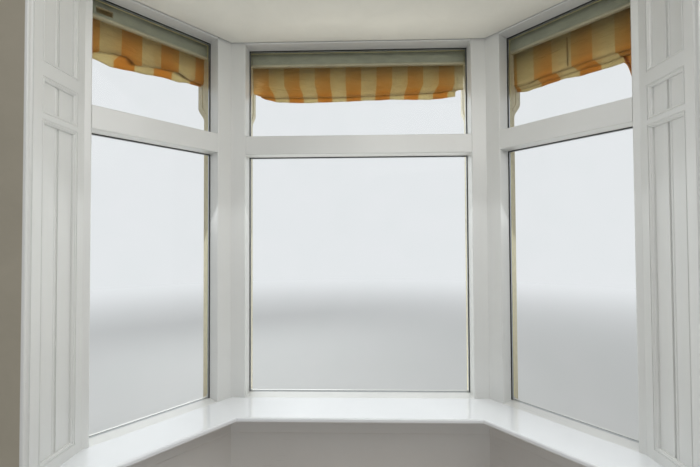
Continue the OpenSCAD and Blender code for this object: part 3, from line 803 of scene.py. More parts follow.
def chamfered_block(t):
    """A unit block whose outer face is a little smaller than its body."""
    cube = t.node("GeometryNodeMeshCube", {"Size": (1.0, 0.88, 1.0)}).outputs["Mesh"]
    moved = t.node(
        "GeometryNodeTransform", {"Geometry": cube, "Translation": (0.0, -0.06, 0.0)}).outputs[0]
    toward = t.part(t.node("GeometryNodeInputNormal").outputs[0], "Y")
    outer = t.node("FunctionNodeCompare", {0: toward, 1: 0.5}, operation="GREATER_THAN").outputs[0]
    grown = t.node("GeometryNodeExtrudeMesh", {
        "Mesh": moved, "Selection": outer, "Offset Scale": 0.12}, mode="FACES")
    block = grown.outputs["Mesh"]
    for scale, axis in ((0.978, (1.0, 0.0, 0.0)), (0.92, (0.0, 0.0, 1.0))):
        block = t.node("GeometryNodeScaleElements", {
            "Geometry": block, "Selection": grown.outputs["Top"], "Scale": scale, "Axis": axis},
            domain="FACE", scale_mode="SINGLE_AXIS").outputs[0]
    return block


def laid_patch(tree, values, along, up, matrix, **changes):
    """The plain mesh of blocks laid between two distances along and two heights."""
    borders = {"Low along": along[0], "High along": along[1], "Low up": up[0], "High up": up[1]}
    values = {**values, **borders, **changes}
    base = bpy.data.objects.new("laying", bpy.data.meshes.new("laying"))
    bpy.context.scene.collection.objects.link(base)
    modifier = base.modifiers.new("Courses", "NODES")
    modifier.node_group = tree
    for item in tree.interface.items_tree:
        if item.in_out == "INPUT" and item.name in values:
            modifier[item.identifier] = values[item.name]
    graph = bpy.context.evaluated_depsgraph_get()
    mesh = bpy.data.meshes.new_from_object(base.evaluated_get(graph))
    bpy.data.objects.remove(base)
    mesh.transform(matrix)
    return mesh


def joined(name, meshes, material):
    """One piece from several meshes, keeping their attributes."""
    parts = [new_object(name, mesh, material) for mesh in meshes]
    with bpy.context.temp_override(
            active_object=parts[0], object=parts[0],
            selected_objects=parts, selected_editable_objects=parts):
        bpy.ops.object.join()
    parts[0].data.update()
    return parts[0]


# Operators, one for each group of like pieces

ARRIS = 0.0012
# Outward distance beyond which the glazing beads' paint is darker: painted shade, with rain marks
BEAD_FACE = 0.119


class BAY_OT_joinery(bpy.types.Operator):
    """Paint the frames, sills, aprons, linings, fascia and awning boxes"""

    bl_idname = "bay.joinery"
    bl_label = "Paint Joinery"

    def execute(self, context):
        c = colours()
        upright, level = (90.0, 90.0, 2.5), (2.5, 90.0, 90.0)
        turns = {facet.name: facet.turn for facet in FACETS}
        white = {side: painted_timber("white_paint_" + side, c.paint, 0.30, level, turn)
                 for side, turn in turns.items()}
        posts = painted_timber("white_paint_upright", c.paint, 0.30, upright)
        # The sills' paint is paler and bluer than the frames': painted light from the sky
        sky_lit_sills = {side: painted_timber("sill_paint_" + side, c.sill, 0.14, level, turn, coat=1.0)
                 for side, turn in turns.items()}
        cream = {facet.name: awning_paint(facet) for facet in FACETS}
        for side in turns:
            for piece in ("bottom_rail", "transom", "head_rail", "apron"):
                repaint(f"{side}_{piece}", white[side])
            repaint(side + "_sill_board", sky_lit_sills[side])
            repaint(side + "_awning_box", cream[side])
        for side in ("left", "right"):
            for piece in ("corner_post", "wall_post", "lining"):
                repaint(f"{side}_{piece}", posts)
        repaint("fascia", white["front"])
        repaint("glazing_beads", painted_timber(
            "bead_paint", c.bead, 0.35, upright, shaded_outside_from=BEAD_FACE, foot=shade(c.paint, 0.9)))
        if sizes().soft_arrises:
            for side in turns:
                for piece in ("bottom_rail", "transom", "head_rail", "awning_box"):
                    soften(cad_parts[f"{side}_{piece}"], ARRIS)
        return {"FINISHED"}


def repaint(node, material):
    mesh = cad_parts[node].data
    mesh.materials.clear()
    mesh.materials.append(material)


class BAY_OT_plaster(bpy.types.Operator):
    """Plaster the ceiling and its trim, and the room's side of the wall"""

    bl_idname = "bay.plaster"
    bl_label = "Plaster"

    def execute(self, context):
        c = colours()
        repaint("ceiling", plaster_finish("plaster", c.plaster))
        # The strip in the shadow gap gets a darker plaster: painted shade
        repaint("ceiling_trim", plaster_finish("dusty_plaster", c.gap))
        masonry = masonry_finish()
        for name in ("left_pier", "right_pier", "upper_wall",
                     "front_parapet", "left_parapet", "right_parapet"):
            repaint(name, masonry)
        return {"FINISHED"}


# The glass's edge: how far the seal and bar at its foot sink below the light, the width of the
# spacer bar, how far it stays off the glass, and how far the seal stands out beside the glass
SEAL_SUNK = 0.0005
BAR_WIDE = 0.003
BAR_OFF_GLASS = 0.001
SEAL_LIP = 0.0015


class BAY_OT_glazing(bpy.types.Operator):
    """Fit the double glazing: two sheets a pane, spacer bars and dark edge seals"""

    bl_idname = "bay.glazing"
    bl_label = "Fit Glazing"

    def execute(self, context):
        glass, seal, spacer = glass_finish(), seal_finish(), spacer_finish()
        for facet in FACETS:
            sheets, seals, bars = ([], []), ([], []), ([], [])
            for low, high in ((SILL_Z, TRANSOM_LOW), (TRANSOM_HIGH, HEAD_Z)):
                self.fit_pane(facet, low, high, sheets, seals, bars)
            panes = object_from(facet.name + "_glass", *sheets, glass, facet.matrix)
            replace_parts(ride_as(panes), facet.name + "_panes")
            edges = object_from(facet.name + "_edge_seals", *seals, seal, facet.matrix)
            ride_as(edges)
            spacers = object_from(facet.name + "_spacer_bars", *bars, spacer, facet.matrix)
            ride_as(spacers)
        return {"FINISHED"}

    def fit_pane(self, facet, low, high, sheets, seals, bars):
        """Adds one light's two sheets, its spacer bars, and the seals between and beside them."""
        thick = sizes().sheet_glass
        show, sunk = PANE_LAP + sizes().seal_show, PANE_LAP - SEAL_SUNK
        x0, x1 = facet.start - PANE_LAP, facet.end + PANE_LAP
        z0, z1 = low - PANE_LAP, high + PANE_LAP
        for y0, y1 in ((PANE_IN, PANE_IN + thick), (PANE_OUT - thick, PANE_OUT)):
            add_box(*sheets, (x0, y0, z0), (x1, y1, z1))
        pane = (x0, z0, x1, z1)
        bar_edge = drawn_in(pane, show - BAR_WIDE, sunk - BAR_WIDE)
        near, far = PANE_IN + thick, PANE_OUT - thick
        add_frame(*seals, pane, bar_edge, (near, far))
        add_frame(*bars, bar_edge, drawn_in(pane, show, sunk),
                  (near + BAR_OFF_GLASS, far - BAR_OFF_GLASS))
        for depth in ((PANE_IN - SEAL_LIP, PANE_IN), (PANE_OUT, PANE_OUT + SEAL_LIP)):
            add_frame(*seals, drawn_in(pane, PANE_LAP - 0.001, sunk - 0.002),
                      drawn_in(pane, show - 0.002, sunk), depth)


BRICK_DEPTH = 0.022
# The bricks' other side, which shows on top of the wall, and how far they stand out there
BRICK_WIDE, TOP_PROUD = 0.100, 0.002


class BAY_OT_brickwork(bpy.types.Operator):
    """Lay the bricks of the parapet, the piers and the wall above"""

    bl_idname = "bay.brickwork"
    bl_label = "Lay Brickwork"

    def execute(self, context):
        s = sizes()
        tree, brick = course_tree(), brick_finish()
        values = {
            "Length": s.brick_length, "Height": PARAPET_TOP / s.courses - s.brick_joint,
            "Joint": s.brick_joint, "Proud": s.brick_proud, "Depth": BRICK_DEPTH,
            "Seed": s.seed, "Material": brick,
        }
        self.lay_parapet(tree, values, brick)
        self.lay_wall(tree, values, brick)
        return {"FINISHED"}

    def lay_parapet(self, tree, values, brick):
        """The parapet's three faces, whose bricks stand proud and still meet at the mitres."""
        past_mitre = mitre_shift(sizes().brick_proud)
        corner, corner_along = plan_corner(BRICK_OUT), mitre_shift(BRICK_OUT)
        side_length = (side_meets_wall(BRICK_OUT) - corner) / math.cos(SIDE_ANGLE)
        near, far = corner_along + past_mitre, side_length - corner_along
        ends = {"front": (-corner - past_mitre, corner + past_mitre),
                "left": (-far, near), "right": (-near, far)}
        outward = Matrix.Translation((0, BRICK_OUT, 0))
        for facet in FACETS:
            mesh = laid_patch(
                tree, values, ends[facet.name], (0.0, PARAPET_TOP - 0.002), facet.matrix @ outward,
                Seed=values["Seed"] + (0 if facet.name == "front" else 5))
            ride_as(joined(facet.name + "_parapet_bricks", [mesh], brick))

    def lay_wall(self, tree, values, brick):
        """The house wall's outer face on both sides and above the roof, its ends and its top."""
        face = Matrix.Translation((0, WALL_OUT, 0))
        seed = values["Seed"]
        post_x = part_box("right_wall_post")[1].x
        edge = WALL_X + sizes().brick_proud
        for name, sign in (("left", -1), ("right", 1)):
            meshes = []
            for x, up in ((side_meets_wall(BRICK_OUT), (0.0, PARAPET_TOP)),
                          (post_x, (PARAPET_TOP, FASCIA_TOP))):
                along = sorted((sign * x, sign * edge))
                meshes.append(laid_patch(tree, values, along, up, face, Seed=seed + 11))
            end_face = (Matrix.Translation((sign * WALL_X, 0, 0))
                        @ Matrix.Rotation(-sign * math.pi / 2, 4, "Z"))
            along = sorted((-sign * ROOM_Y, -sign * WALL_OUT))
            meshes.append(laid_patch(
                tree, values, along, (0.0, WALL_TOP), end_face, Seed=seed + 17))
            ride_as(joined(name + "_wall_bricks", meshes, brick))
        above = laid_patch(
            tree, values, (-edge, edge), (FASCIA_TOP, WALL_TOP), face, Seed=seed + 23)
        top = Matrix.Translation((0, 0, WALL_TOP)) @ Matrix.Rotation(math.pi / 2, 4, "X")
        bed = laid_patch(
            tree, values, (-edge, edge), (-WALL_OUT + 0.002, -ROOM_Y - 0.002), top,
            Height=BRICK_WIDE, Proud=TOP_PROUD, Seed=seed + 29)
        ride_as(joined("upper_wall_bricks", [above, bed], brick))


TILE_JOINT = 0.006
# Taller than the slope and the nose, so that each is one course of tiles
SLOPE_COURSE, NOSE_COURSE = 0.4, 1.8


class BAY_OT_outer_sills(bpy.types.Operator):
    """Lay the glazed tiles of the outer sills"""

    bl_idname = "bay.outer_sills"
    bl_label = "Lay Sill Tiles"

    def execute(self, context):
        s = sizes()
        tree, tile, mortar = course_tree(), tile_finish(), masonry_finish()
        run = SILL_OUT - FRAME_DEPTH
        slope_length = run / math.cos(SILL_SLOPE)
        nose_top = SILL_HIGH - run * math.tan(SILL_SLOPE)
        down = (Matrix.Translation((0, FRAME_DEPTH, SILL_HIGH))
                @ Matrix.Rotation(math.pi / 2 - SILL_SLOPE, 4, "X"))
        nose = Matrix.Translation((0, SILL_OUT, 0))
        front = plan_corner(SILL_OUT) + 0.02
        side = (side_meets_wall(SILL_OUT) - HALF_W) / math.cos(SIDE_ANGLE) + 0.1
        ends = {"front": (-front, front), "left": (-side, 0.2), "right": (-0.2, side)}
        values = {
            "Length": s.tile_width - TILE_JOINT, "Joint": TILE_JOINT, "Bond": 0.0,
            "Proud": 0.003, "Depth": 0.008, "Settling": 0.0003,
            "Seed": s.seed + 31, "Material": tile,
        }
        for facet in FACETS:
            repaint(facet.name + "_outer_sill", mortar)
            meshes = [
                laid_patch(tree, values, ends[facet.name], (-slope_length - 0.0028, -0.001),
                           facet.matrix @ down, Height=SLOPE_COURSE),
                laid_patch(tree, values, ends[facet.name], (PARAPET_TOP + 0.001, nose_top + 0.001),
                           facet.matrix @ nose, Height=NOSE_COURSE)]
            for mesh in meshes:
                self.fit(mesh, facet)
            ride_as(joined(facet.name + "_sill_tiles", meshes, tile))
        return {"FINISHED"}

    def fit(self, mesh, facet):
        """Cuts the tiles at the mitres and at the house wall."""
        across = math.cos(SIDE_ANGLE / 2), math.sin(SIDE_ANGLE / 2)
        for sign in (-1, 1):
            if facet.name in ("front", "left" if sign < 0 else "right"):
                away = 1 if facet.name == "front" else -1
                outward = Vector((sign * away * across[0], -away * across[1], 0))
                trim(mesh, Vector((sign * HALF_W, FRAME_Y, 0)), outward)
        if facet.name != "front":
            trim(mesh, Vector((0, WALL_OUT + 0.001, 0)), Vector((0, -1, 0)))


class BAY_OT_floor(bpy.types.Operator):
    """Lay the floor boards"""

    bl_idname = "bay.floor"
    bl_label = "Lay Floor Boards"

    def execute(self, context):
        s = sizes()
        repaint("floor", masonry_finish())
        board = board_finish()
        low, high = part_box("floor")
        flat = Matrix.Translation((0, 0, FLOOR_Z)) @ Matrix.Rotation(math.pi / 2, 4, "X")
        mesh = laid_patch(course_tree(), {
            "Length": 1.62, "Height": s.board_width, "Joint": 0.0012, "Bond": 0.37,
            "Proud": 0.0015, "Depth": 0.006, "Settling": 0.0002,
            "Seed": s.seed + 37, "Material": board}, (low.x, high.x), (-FRAME_Y, -low.y), flat)
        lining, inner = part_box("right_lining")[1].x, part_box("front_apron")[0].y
        for sign in (-1, 1):
            outward = Vector((sign * math.sin(SIDE_ANGLE), math.cos(SIDE_ANGLE), 0))
            trim(mesh, Vector((sign * HALF_W, FRAME_Y, 0)), outward)
            trim(mesh, Vector((sign * lining, inner, 0)), Vector((sign, 0, 0)))
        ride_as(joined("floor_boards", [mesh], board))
        return {"FINISHED"}


# The longest length of flashing, its lap over the next, its thickness, and how far it covers the
# wall and the felt
FLASHING_LENGTH = 0.93
FLASHING_LAP = 0.06
FLASHING_THICK = 0.002
FLASHING_UP, FLASHING_OUT = 0.115, 0.125


class BAY_OT_roofing(bpy.types.Operator):
    """Cover the roof with felt, cap the fascia and flash the roof against the wall"""

    bl_idname = "bay.roofing"
    bl_label = "Cover Roof"

    def execute(self, context):
        felt, metal = felt_finish(), metal_finish()
        repaint("roof", felt)
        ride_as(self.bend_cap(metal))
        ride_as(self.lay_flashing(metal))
        return {"FINISHED"}

    def bend_cap(self, metal):
        """The fascia's cap, from an upstand on the roof over its top to the drip in front."""
        back, front, top = ROOF_OUT, FASCIA_OUT, FASCIA_TOP
        return mitred_run("fascia_cap", [
            (back - 0.030, top - 0.012), (back - 0.026, top + 0.003),
            (front + 0.006, top + 0.003), (front + 0.006, top - 0.022),
            (front + 0.010, top - 0.027), (front + 0.009, top - 0.028),
            (front + 0.0035, top - 0.022), (front + 0.0035, top + 0.001),
            (back - 0.024, top + 0.001), (back - 0.028, top - 0.012),
        ], metal)

    def lay_flashing(self, metal):
        """Lengths of flashing that lap, each second one a little higher."""
        points, faces = [], []
        reach = side_meets_wall(ROOF_OUT) - 0.02
        count = math.ceil(2 * reach / FLASHING_LENGTH)
        for i in range(count):
            x0 = -reach + i * 2 * reach / count
            x1 = -reach + (i + 1) * 2 * reach / count + (FLASHING_LAP if i < count - 1 else 0)
            low = 0.004 + 0.0008 * (i % 2)
            high = low + FLASHING_THICK
            section = [(low, FLASHING_UP), (low, low), (FLASHING_OUT, low), (FLASHING_OUT, high),
                       (high, high + 0.002), (high, FLASHING_UP)]
            first, n = len(points), len(section)
            for x in (x0, x1):
                points += [(x, WALL_OUT + out, ROOF_TOP + up) for out, up in section]
            faces.append(tuple(first + k for k in range(n)))
            faces.append(tuple(first + n + k for k in reversed(range(n))))
            for k in range(n):
                after = (k + 1) % n
                faces.append((first + k, first + n + k, first + n + after, first + after))
        flashing = object_from("roof_flashing", points, faces, metal)
        face_outward(flashing.data)
        return flashing


# The awning cloth

# Heights of the cloth's folds, from the first one behind the glass to the hem, as pairs of a
# distance along the window and a height
HOOD_FOLDS = {
    "front": (
        ((-0.65, 2.725), (-0.61, 2.714), (-0.54, 2.706), (-0.36, 2.703), (-0.07, 2.705),
         (0.21, 2.714), (0.41, 2.720), (0.51, 2.724), (0.59, 2.735), (0.65, 2.738)),
        ((-0.66, 2.731), (-0.62, 2.711), (-0.53, 2.689), (-0.44, 2.683), (-0.35, 2.681),
         (-0.07, 2.687), (0.21, 2.696), (0.39, 2.693), (0.48, 2.692), (0.56, 2.699),
         (0.61, 2.704), (0.64, 2.710)),
    ),
    "left": (
        ((-0.68, 2.716), (-0.62, 2.723), (-0.54, 2.752), (-0.475, 2.757), (-0.43, 2.727),
         (-0.36, 2.747), (-0.29, 2.759), (-0.22, 2.764), (-0.155, 2.746), (-0.07, 2.740)),
        ((-0.68, 2.715), (-0.61, 2.710), (-0.57, 2.704), (-0.52, 2.691), (-0.45, 2.701),
         (-0.35, 2.710), (-0.265, 2.723), (-0.18, 2.722), (-0.14, 2.734), (-0.07, 2.738)),
    ),
    "right": (
        ((0.05, 2.703), (0.145, 2.692), (0.21, 2.703), (0.32, 2.702), (0.45, 2.705),
         (0.54, 2.701), (0.63, 2.694)),
        ((0.07, 2.692), (0.14, 2.677), (0.20, 2.680), (0.32, 2.681), (0.42, 2.681),
         (0.50, 2.675), (0.60, 2.680)),
        ((0.06, 2.686), (0.12, 2.663), (0.23, 2.666), (0.31, 2.669), (0.38, 2.655),
         (0.55, 2.654), (0.572, 2.655), (0.582, 2.620), (0.60, 2.545), (0.62, 2.516),
         (0.68, 2.510)),
    ),
}
# A hood's upper edge and its inner face, the outward distance of its first fold and from there
# to its last, and how far the cloth rises between two folds
HOOD_TOP = 2.905
HOOD_IN = 0.1662
FIRST_FOLD_OUT = 0.1745
FOLDS_DEEP = 0.029
CREST = 0.008
# Height at which the cloth ends behind the front board
BOARD_LOW = 2.862
# The inner layer, which the room sees, is this share of a hood's length from the rail
INNER_LAYER = 0.45
HOOD_ROWS = 130
HOOD_PAST_GLASS = 0.0035
# The right awning's pleat, along the window, and its lower end
PLEAT_AT, PLEAT_LOW = 0.360, 2.716
# Where an orange stripe starts, measured along each awning, after a number of stripes that keeps
# the measure above zero
STRIPE_START = {"front": 0.639, "left": 0.506, "right": 0.0}
STRIPES_BEFORE = 40
# The inner layer's greying at the rail, partly dust and partly painted shade, where one hides the
# stripes
RAIL_DUST_AND_SHADE = {"front": 0.60, "left": 0.20, "right": 0.74}

VALANCE_DROP, SCALLOP = 0.130, 0.035
VALANCE_BELOW_SOFFIT = 0.072
VALANCE_PAST_GLASS = 0.022


def share(value, whole):
    """How much of the whole the value is, from none to one."""
    return min(1.0, max(0.0, value / whole))


def falloff(distance, width):
    return math.exp(-(distance / width) ** 2)


def cloth_start(name):
    """Place on the flat cloth, across its stripes, that a distance along the window is added to."""
    return sizes().stripe * STRIPES_BEFORE + STRIPE_START[name]


def height_at(line, along):
    """Height of a fold or hem at a distance along the window, with its corners eased."""
    def straight(x):
        for (x0, z0), (x1, z1) in zip(line, line[1:]):
            if x <= x1:
                return z0 + (z1 - z0) * max(0.0, (x - x0) / (x1 - x0))
        return line[-1][1]

    return sum(straight(along + step) for step in (-0.010, -0.005, 0.0, 0.005, 0.010)) / 5


def hood_section(lows):
    """The cloth at one place, down from the rail, over its folds and up to the front board.

    Each point is its distance outward, its height, and the painted shade it gets, tucked in between
    two folds.
    """
    first, last = lows[0], lows[-1]
    section = [
        (HOOD_IN, HOOD_TOP, 0), (HOOD_IN + 0.0008, RAIL_LOW, 0),
        (HOOD_IN + 0.0020, (first + RAIL_LOW) / 2, 0),
        (HOOD_IN + 0.0040, first + 0.030, 0), (HOOD_IN + 0.0045, first + 0.006, 0)]
    step = FOLDS_DEEP / (len(lows) - 1)
    for k, low in enumerate(lows):
        out = FIRST_FOLD_OUT + step * k
        section += [(out - 0.002, low - 0.001, 0), (out + 0.002, low - 0.001, 0)]
        if k < len(lows) - 1:
            crest = max(low, lows[k + 1]) + CREST
            section += [(out + 0.38 * step, crest, 1), (out + 0.62 * step, crest, 1)]
            if low - 0.002 > lows[k + 1] + 0.004:
                section.append((out + 0.8 * step, low - 0.002, 0))
    return section + [
        (0.2105, last + 0.008, 0), (0.2170, last + 0.045, 0),
        (0.2240, max(last + 0.09, 2.780), 0), (0.2300, BOARD_LOW, 0)]


def spaced(points, steps):
    """Evenly spaced samples along a run of straight pieces, with eased corners, and its length."""
    reach = [0.0]
    for a, b in zip(points, points[1:]):
        reach.append(reach[-1] + math.dist(a[:2], b[:2]))
    samples, k = [], 0
    for i in range(steps + 1):
        want = reach[-1] * i / steps
        while k < len(points) - 2 and reach[k + 1] < want:
            k += 1
        t = (want - reach[k]) / (reach[k + 1] - reach[k])
        samples.append(tuple(a + (b - a) * t for a, b in zip(points[k], points[k + 1])))
    for _ in range(3):
        eased = [tuple((a + 2 * b + c) / 4 for a, b, c in zip(*three))
                 for three in zip(samples, samples[1:], samples[2:])]
        samples = [samples[0], *eased, samples[-1]]
    return samples, reach[-1]


def cloth_sheet(name, facet, rows, columns, place, flat_of):
    """A sheet of cloth: place gives a point and flat_of its place on the flat cloth.

    Both take two shares of the sheet, across it and down it.
    """
    points, faces, flat = [], [], []
    for j in range(rows + 1):
        for i in range(columns + 1):
            u, v = i / columns, j / rows
            points.append(place(u, v))
            flat.append(flat_of(u, v))
    for j in range(rows):
        for i in range(columns):
            a = j * (columns + 1) + i
            faces.append((a, a + 1, a + columns + 2, a + columns + 1))
    made = object_from(name, points, faces, None, facet.matrix, smooth=True)
    layer = made.data.uv_layers.new(name="cloth")
    for loop in made.data.loops:
        layer.data[loop.index].uv = flat[loop.vertex_index]
    thick = made.modifiers.new("Canvas", "SOLIDIFY")
    thick.thickness = sizes().canvas_thickness
    thick.offset = 0.0
    return made


class Hood:
    """The folded cloth of one awning, and how it drapes, slips and creases, with its dust and
    painted shade.
    """

    def __init__(self, facet):
        self.name = facet.name
        self.low, self.high = facet.start - HOOD_PAST_GLASS, facet.end + HOOD_PAST_GLASS
        self.width = self.high - self.low
        self.columns = 240 if self.name == "right" else 220
        self.seed = 3.1 * FACETS.index(facet)
        self.start = cloth_start(self.name)
        self.folds = HOOD_FOLDS[self.name]
        self.sections = [self.section(self.column(i)) for i in range(self.columns + 1)]

    def column(self, i):
        return self.low + self.width * i / self.columns

    def section(self, along):
        heights = [height_at(line, along) for line in self.folds]
        return spaced(hood_section(heights), HOOD_ROWS)

    def place(self, u, v):
        along = self.low + self.width * u
        out, up, _ = self.sections[round(u * self.columns)][0][round(v * HOOD_ROWS)]
        inside = v < INNER_LAYER
        # The cloth is held at the rail and at its far end
        free = share(RAIL_LOW - up, 0.10) * share(1.0 - v, 0.1)
        depth = self.drape(along, up, v)
        if inside:
            out += self.crease(along, up) * free
        slip = self.slip(along, up, v)
        up += 0.0022 * noise.noise(Vector((along * 17.0, self.seed, v * 3.0))) * free
        loose = free * (0.5 if inside else 1.0)
        return along + slip, max(HOOD_IN, out + (depth + 0.001) * loose), up

    def flat_of(self, u, v):
        return self.low + self.width * u + self.start, self.sections[round(u * self.columns)][1] * v

    def drape(self, along, up, v):
        """Waves, small wrinkles, slanting drag lines and gathers at both ends."""
        broad = noise.noise(Vector((along * 8.0, up * 9.0, self.seed + v * 2.0)))
        fine = noise.noise(Vector((along * 30.0, up * 24.0, self.seed + 5.0 + v * 3.0)))
        slant = (along * 11.0 + up * 14.0, up * 5.0 - along * 3.0, self.seed + 9.0)
        drag = 1.0 - abs(noise.noise(Vector(slant))) * 4.0
        depth = 0.0030 * broad + 0.0010 * fine + 0.0016 * max(0.0, drag)
        ends = falloff(along - self.low, 0.03) + falloff(self.high - along, 0.03)
        return depth + 0.0030 * ends * math.sin(up * 130.0 + self.seed)

    def slip(self, along, up, v):
        """How far the lower folds have slipped: inward in front, toward the wall at the sides."""
        if self.name == "front":
            lower = share(2.775 - up, 0.055) if v < INNER_LAYER else 1.0
            middle = min(share(along - self.low, 0.09), share(self.high - along, 0.09))
            return -0.062 * along * lower * (middle + (1.0 - middle) * share(v - 0.47, 0.05))
        most = -0.026 if self.name == "left" else 0.028
        middle = min(share(along - self.low, 0.08), share(self.high - along, 0.08))
        return most * share(v - 0.42, 0.08) * middle

    def crease(self, along, up):
        """Depth of the single creases: the right awning's pleat, and a tuck in the others."""
        if self.name == "right":
            tall = share(BOARD_LOW - up, 0.01) * share(up - PLEAT_LOW, 0.01)
            return 0.0075 * falloff(along - PLEAT_AT, 0.0042) * tall
        if self.name == "front":
            return 0.0050 * falloff(along - 0.598 - 0.12 * (2.80 - up), 0.008)
        tall = max(0.0, (2.80 - up) / 0.06)
        return 0.0040 * falloff(along + 0.345 + 0.6 * (up - 2.76), 0.012) * tall

    def tuck(self, i, j):
        """Painted shade on the cloth between its folds, and in the right awning's pleat."""
        _, up, shade_between_folds = self.sections[i][0][j]
        inside = j / HOOD_ROWS < INNER_LAYER
        if self.name == "right" and inside and PLEAT_LOW < up < BOARD_LOW:
            return max(shade_between_folds, falloff(self.column(i) - PLEAT_AT, 0.0032))
        return shade_between_folds

    def dust(self, i, j):
        """How grey the inner layer is, partly dust and partly painted shade: clean at the first
        fold, grey at the rail.
        """
        if j / HOOD_ROWS >= INNER_LAYER:
            return 0.0
        above = self.sections[i][0][j][1] - height_at(self.folds[0], self.column(i))
        return RAIL_DUST_AND_SHADE[self.name] * (0.55 * share(above - 0.018, 0.022)
                                  + 0.45 * share(above - 0.05, 0.10))


class BAY_OT_awning_cloth(bpy.types.Operator):
    """Hang the folded hoods of the three awnings, their gathered ends and their valances"""

    bl_idname = "bay.awning_cloth"
    bl_label = "Hang Awning Cloth"

    def execute(self, context):
        canvas = canvas_finish()
        for facet in FACETS:
            self.hang_hood(facet, canvas)
            self.hang_valance(facet, canvas)
        return {"FINISHED"}

    def hang_hood(self, facet, canvas):
        cloth = Hood(facet)
        hood = cloth_sheet(
            facet.name + "_awning_hood", facet, HOOD_ROWS, cloth.columns,
            cloth.place, cloth.flat_of)
        hood.data.materials.append(canvas)
        # Painted shade between the folds, and a greying toward the rail that is partly dust and
        # partly painted shade
        for name, value in (("tuck", cloth.tuck), ("dust", cloth.dust)):
            values = [value(i, j) for j in range(HOOD_ROWS + 1) for i in range(cloth.columns + 1)]
            layer = hood.data.attributes.new(name, "FLOAT", "POINT")
            layer.data.foreach_set("value", values)
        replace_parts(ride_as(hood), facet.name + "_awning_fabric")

    def hang_valance(self, facet, canvas):
        low, high = facet.start - VALANCE_PAST_GLASS, facet.end + VALANCE_PAST_GLASS
        width = high - low
        top = SOFFIT_Z - VALANCE_BELOW_SOFFIT
        scallops = max(3, round(width / (2 * sizes().stripe)))
        start = cloth_start(facet.name)
        seed = FACETS.index(facet) * 2.7

        def place(u, v):
            along = low + width * u
            length = VALANCE_DROP - SCALLOP * abs(math.cos(math.pi * scallops * u))
            ripple = 0.004 * (1 + noise.noise(Vector((along * 7.0, 11.0, seed))))
            out = CASE_OUT + 0.005 + v * (ripple + 0.002 * math.sin(along * 33.0))
            return along, out, top - length * v

        def flat_of(u, v):
            # Two metres down the cloth, clear of the hood's own stains
            return low + width * u + start, 2.0 + VALANCE_DROP * v

        valance = cloth_sheet(
            facet.name + "_awning_valance", facet, 14, 24 * scallops, place, flat_of)
        valance.data.materials.append(canvas)
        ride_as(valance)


# The stage

# Half the floor's width, and the distances between which it runs out into the background
FLOOR_REACH = 40.0
FLOOR_FADES = (3.0, 16.0)
BACKGROUND = (0.95, 0.97, 1.0, 1)
BACKGROUND_STRENGTH = 0.84
# The even light's strength on the room's side and on the street side
ROOM_LIGHT, STREET_LIGHT = 0.35, 0.76
# Name, place, target, size, power and colour of each studio lamp
SOFTBOXES = (
    ("room_softbox", (1.0, -2.0, 3.3), (-0.3, -0.1, 1.3), (2.6, 1.4), 26, (1.0, 0.98, 0.93)),
    ("street_softbox", (-2.4, 5.2, 4.2), (0.0, 0.0, 1.8), (5.0, 2.8), 122, (0.94, 0.97, 1.0)),
    ("ground_reflector", (-0.5, 3.1, 0.04), (-0.5, 3.1, 2.0), (8.0, 2.6), 158, (1.0, 0.955, 0.87)),
)
# Power of the daylight through each window, and how far it falls in a metre
DAYLIGHT = {"front": 4.2, "left": 3.2, "right": 2.8}
DAYLIGHT_FALL = 0.85
# The camera as fitted to the photograph, whose frame is 700 by 467 pixels
PHOTO_WIDE, FOCAL_PIXELS, SENSOR = 700, 372.6, 36.0
CAMERA_X, CAMERA_BACK, CAMERA_ABOVE_SILL = 0.0064, 2.090, 0.873
PITCH, YAW, ROLL = math.radians(91.15), math.radians(1.4256), math.radians(-0.2734)


def softbox(name, place, target, size, power, colour):
    """A soft rectangular lamp that neither the camera nor a look through the glass sees."""
    data = bpy.data.lights.new(name, "AREA")
    data.color = colour
    data.shape = "RECTANGLE"
    data.size, data.size_y = size
    data.energy = power
    lamp = bpy.data.objects.new(name, data)
    bpy.context.scene.collection.objects.link(lamp)
    lamp.visible_camera = False
    lamp.visible_transmission = False
    lamp.location = place
    lamp.rotation_euler = (Vector(target) - Vector(place)).to_track_quat("-Z", "Y").to_euler()
    return lamp


